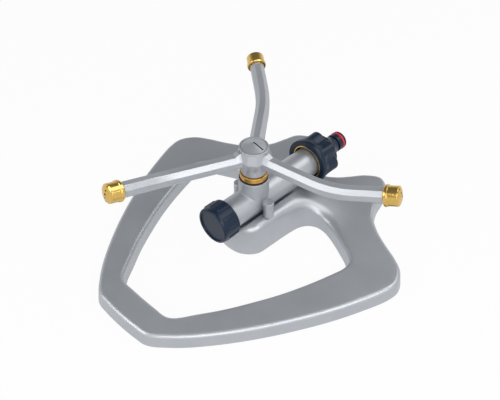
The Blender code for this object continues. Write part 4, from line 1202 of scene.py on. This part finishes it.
slot_axes = axes_at(ON_AXIS, (0, 0, 1), heading(ARM_TURN + 4 * math.pi / 3))
rim = circle(CONE_RADIUS, 72)
slot_side = np.linspace(SLOT_START, SLOT_END, SLOT_STEPS)
slot_ring = np.vstack([lattice(slot_side, [-SLOT_WIDTH / 2]), lattice(slot_side[::-1], [SLOT_WIDTH / 2])])
inner_rings = outside(np.vstack([circle(radius, 36) for radius in CONE_RINGS]), [slot_ring], SLOT_MARGIN)
flat = np.vstack([rim, slot_ring, inner_rings])
cone = at_height(flat, cone_height(*flat.T))
cone_foot = cone[0, 2]
cone_shell = (placed(cone, slot_axes), sheet_faces(rim, [slot_ring], inner_rings), flat)
slot_top = cone[len(rim) : len(rim) + len(slot_ring)]
slot_floor = at_height(slot_ring, plug_low + SLOT_FLOOR)
# The slot's walls and floor take painted shade, near black.
slot_shell = painted_shade_strip([slot_top, slot_floor, slot_floor * (1, 0, 1)], slot_axes)
plug_outline = (
    (CONE_RADIUS, cone_foot, 0),
    (CONE_RADIUS + 0.00005, cone_foot - 0.0006, 0),
    (CONE_RADIUS + 0.00035, cone_foot - 0.0006, 0),
    (CONE_RADIUS + 0.00045, cone_foot + 0.0002, 0.00015),
    (HUB_TOP_RADIUS + 0.0002, cone_foot + 0.0001, 0.0005),
    (HUB_TOP_RADIUS + 0.0002, plug_low, 0.0002),
    (plug_spigot, plug_low, 0),
    *ring_groove(plug_spigot, plug_groove, plug_low - CAP_SEAL_DEPTH, -RING_WIRE - GAP),
    (plug_spigot, plug_low - CAP_SPIGOT, 0.0003),
    (0.0, plug_low - CAP_SPIGOT, 0),
)
plug_shells = [cone_shell, slot_shell, turned(rounded(plug_outline), 72, slot_axes)]
build("hub_plug", plug_shells, silver, "rotor", "hub_cap")
dress("hub_cap_seal", rubber)


# Nozzles
# Three turned and polished brass nozzles, each pushed over an arm's spigot on a sealing ring, free to be
# aimed. Five jets in a row are drilled through each domed face.
NOZZLE_LENGTH = 0.0136
NOZZLE_RADIUS = 0.00815
NOZZLE_FLANGE = NOZZLE_RADIUS + 0.0007
NOZZLE_FLANGE_LENGTH = 0.0031
NOZZLE_EDGE = 0.0006
NOZZLE_FACE = 0.0016
DOME_HEIGHT = 0.0017
DOME_COLUMNS = 64
DOME_RINGS = (0.0010, 0.0018, 0.0027, 0.0037, 0.0047, 0.0057, 0.0066)
SEAL_SEAT = 0.0052
SEAL_SIDES = 20
JET_RADII = (0.00072, 0.00078, 0.00105, 0.00078, 0.00072)
JET_PITCH = 0.0033
JET_DEPTH = 0.0012
JET_EDGE = 0.0003
JET_THROAT = 0.86
JET_SIDES = 20
JET_MARGIN = 0.00022

dome_rim = NOZZLE_RADIUS - NOZZLE_EDGE
dome_bend = (dome_rim**2 + DOME_HEIGHT**2) / (2 * DOME_HEIGHT)
dome_centre = NOZZLE_LENGTH - dome_bend
nozzle_inside = SPIGOT_RADIUS + GAP
seal_groove = (nozzle_inside + 2 * RING_WIRE + GAP) / math.cos(math.pi / SEAL_SIDES)
nozzle_outline = (
    (dome_rim, NOZZLE_LENGTH - DOME_HEIGHT, 0),
    (NOZZLE_RADIUS, NOZZLE_LENGTH - DOME_HEIGHT - NOZZLE_EDGE, 0.00012),
    (NOZZLE_RADIUS, NOZZLE_FLANGE_LENGTH + 0.0004, 0.0002),
    (NOZZLE_FLANGE, NOZZLE_FLANGE_LENGTH, 0.00025),
    (NOZZLE_FLANGE, 0.0010, 0.0003),
    (NOZZLE_FLANGE - 0.0006, GAP, 0),
    (nozzle_inside, GAP, 0),
    *ring_groove(nozzle_inside, seal_groove, SEAL_SEAT, RING_WIRE + GAP),
    (nozzle_inside, NOZZLE_LENGTH - DOME_HEIGHT - NOZZLE_FACE * 0.9, 0),
    (0.0, NOZZLE_LENGTH - NOZZLE_FACE, 0),
)


def dome_height(flat):
    """Height of the face: part of a sphere."""
    return dome_centre + np.sqrt(dome_bend**2 - (flat**2).sum(axis=1))


jet_rings, jets = [], []
for index, radius in enumerate(JET_RADII):
    fan = math.asin((index - (len(JET_RADII) - 1) / 2) * JET_PITCH / dome_bend)
    drill = axes_at((0.0, 0.0, dome_centre), (math.sin(fan), 0, math.cos(fan)), (0, 1, 0))
    lip = math.sqrt(dome_bend**2 - radius**2)
    throat = radius * JET_THROAT
    rows = []
    for reach, depth in ((radius, 0.0), (throat, JET_EDGE), (throat, JET_DEPTH), (0.0, JET_DEPTH)):
        rows.append(placed(at_height(circle(reach, JET_SIDES), lip - depth), drill))
    jet_rings.append(rows[0][:, :2])
    jets.append(rows)
dome_edge = circle(dome_rim, DOME_COLUMNS)
dome_points = outside(np.vstack([circle(radius, 48) for radius in DOME_RINGS]), jet_rings, JET_MARGIN)
dome_flat = np.vstack([dome_edge, *jet_rings, dome_points])
dome = at_height(dome_flat, dome_height(dome_flat))
dome_faces = sheet_faces(dome_edge, jet_rings, dome_points)
for name, axes in zip(("back", "left", "right"), nozzle_axes):
    shells = [turned(rounded(nozzle_outline), DOME_COLUMNS, axes)]
    shells.append((placed(dome, axes), dome_faces, dome_flat * (0, 1)))
    # The jets are shallow pits whose walls and floors take painted shade, near black.
    shells += [painted_shade_strip(rows, axes) for rows in jets]
    build("spray_nozzle_" + name, shells, brass, "nozzle_" + name, "nozzle_" + name)
    dress("nozzle_seal_" + name, rubber)
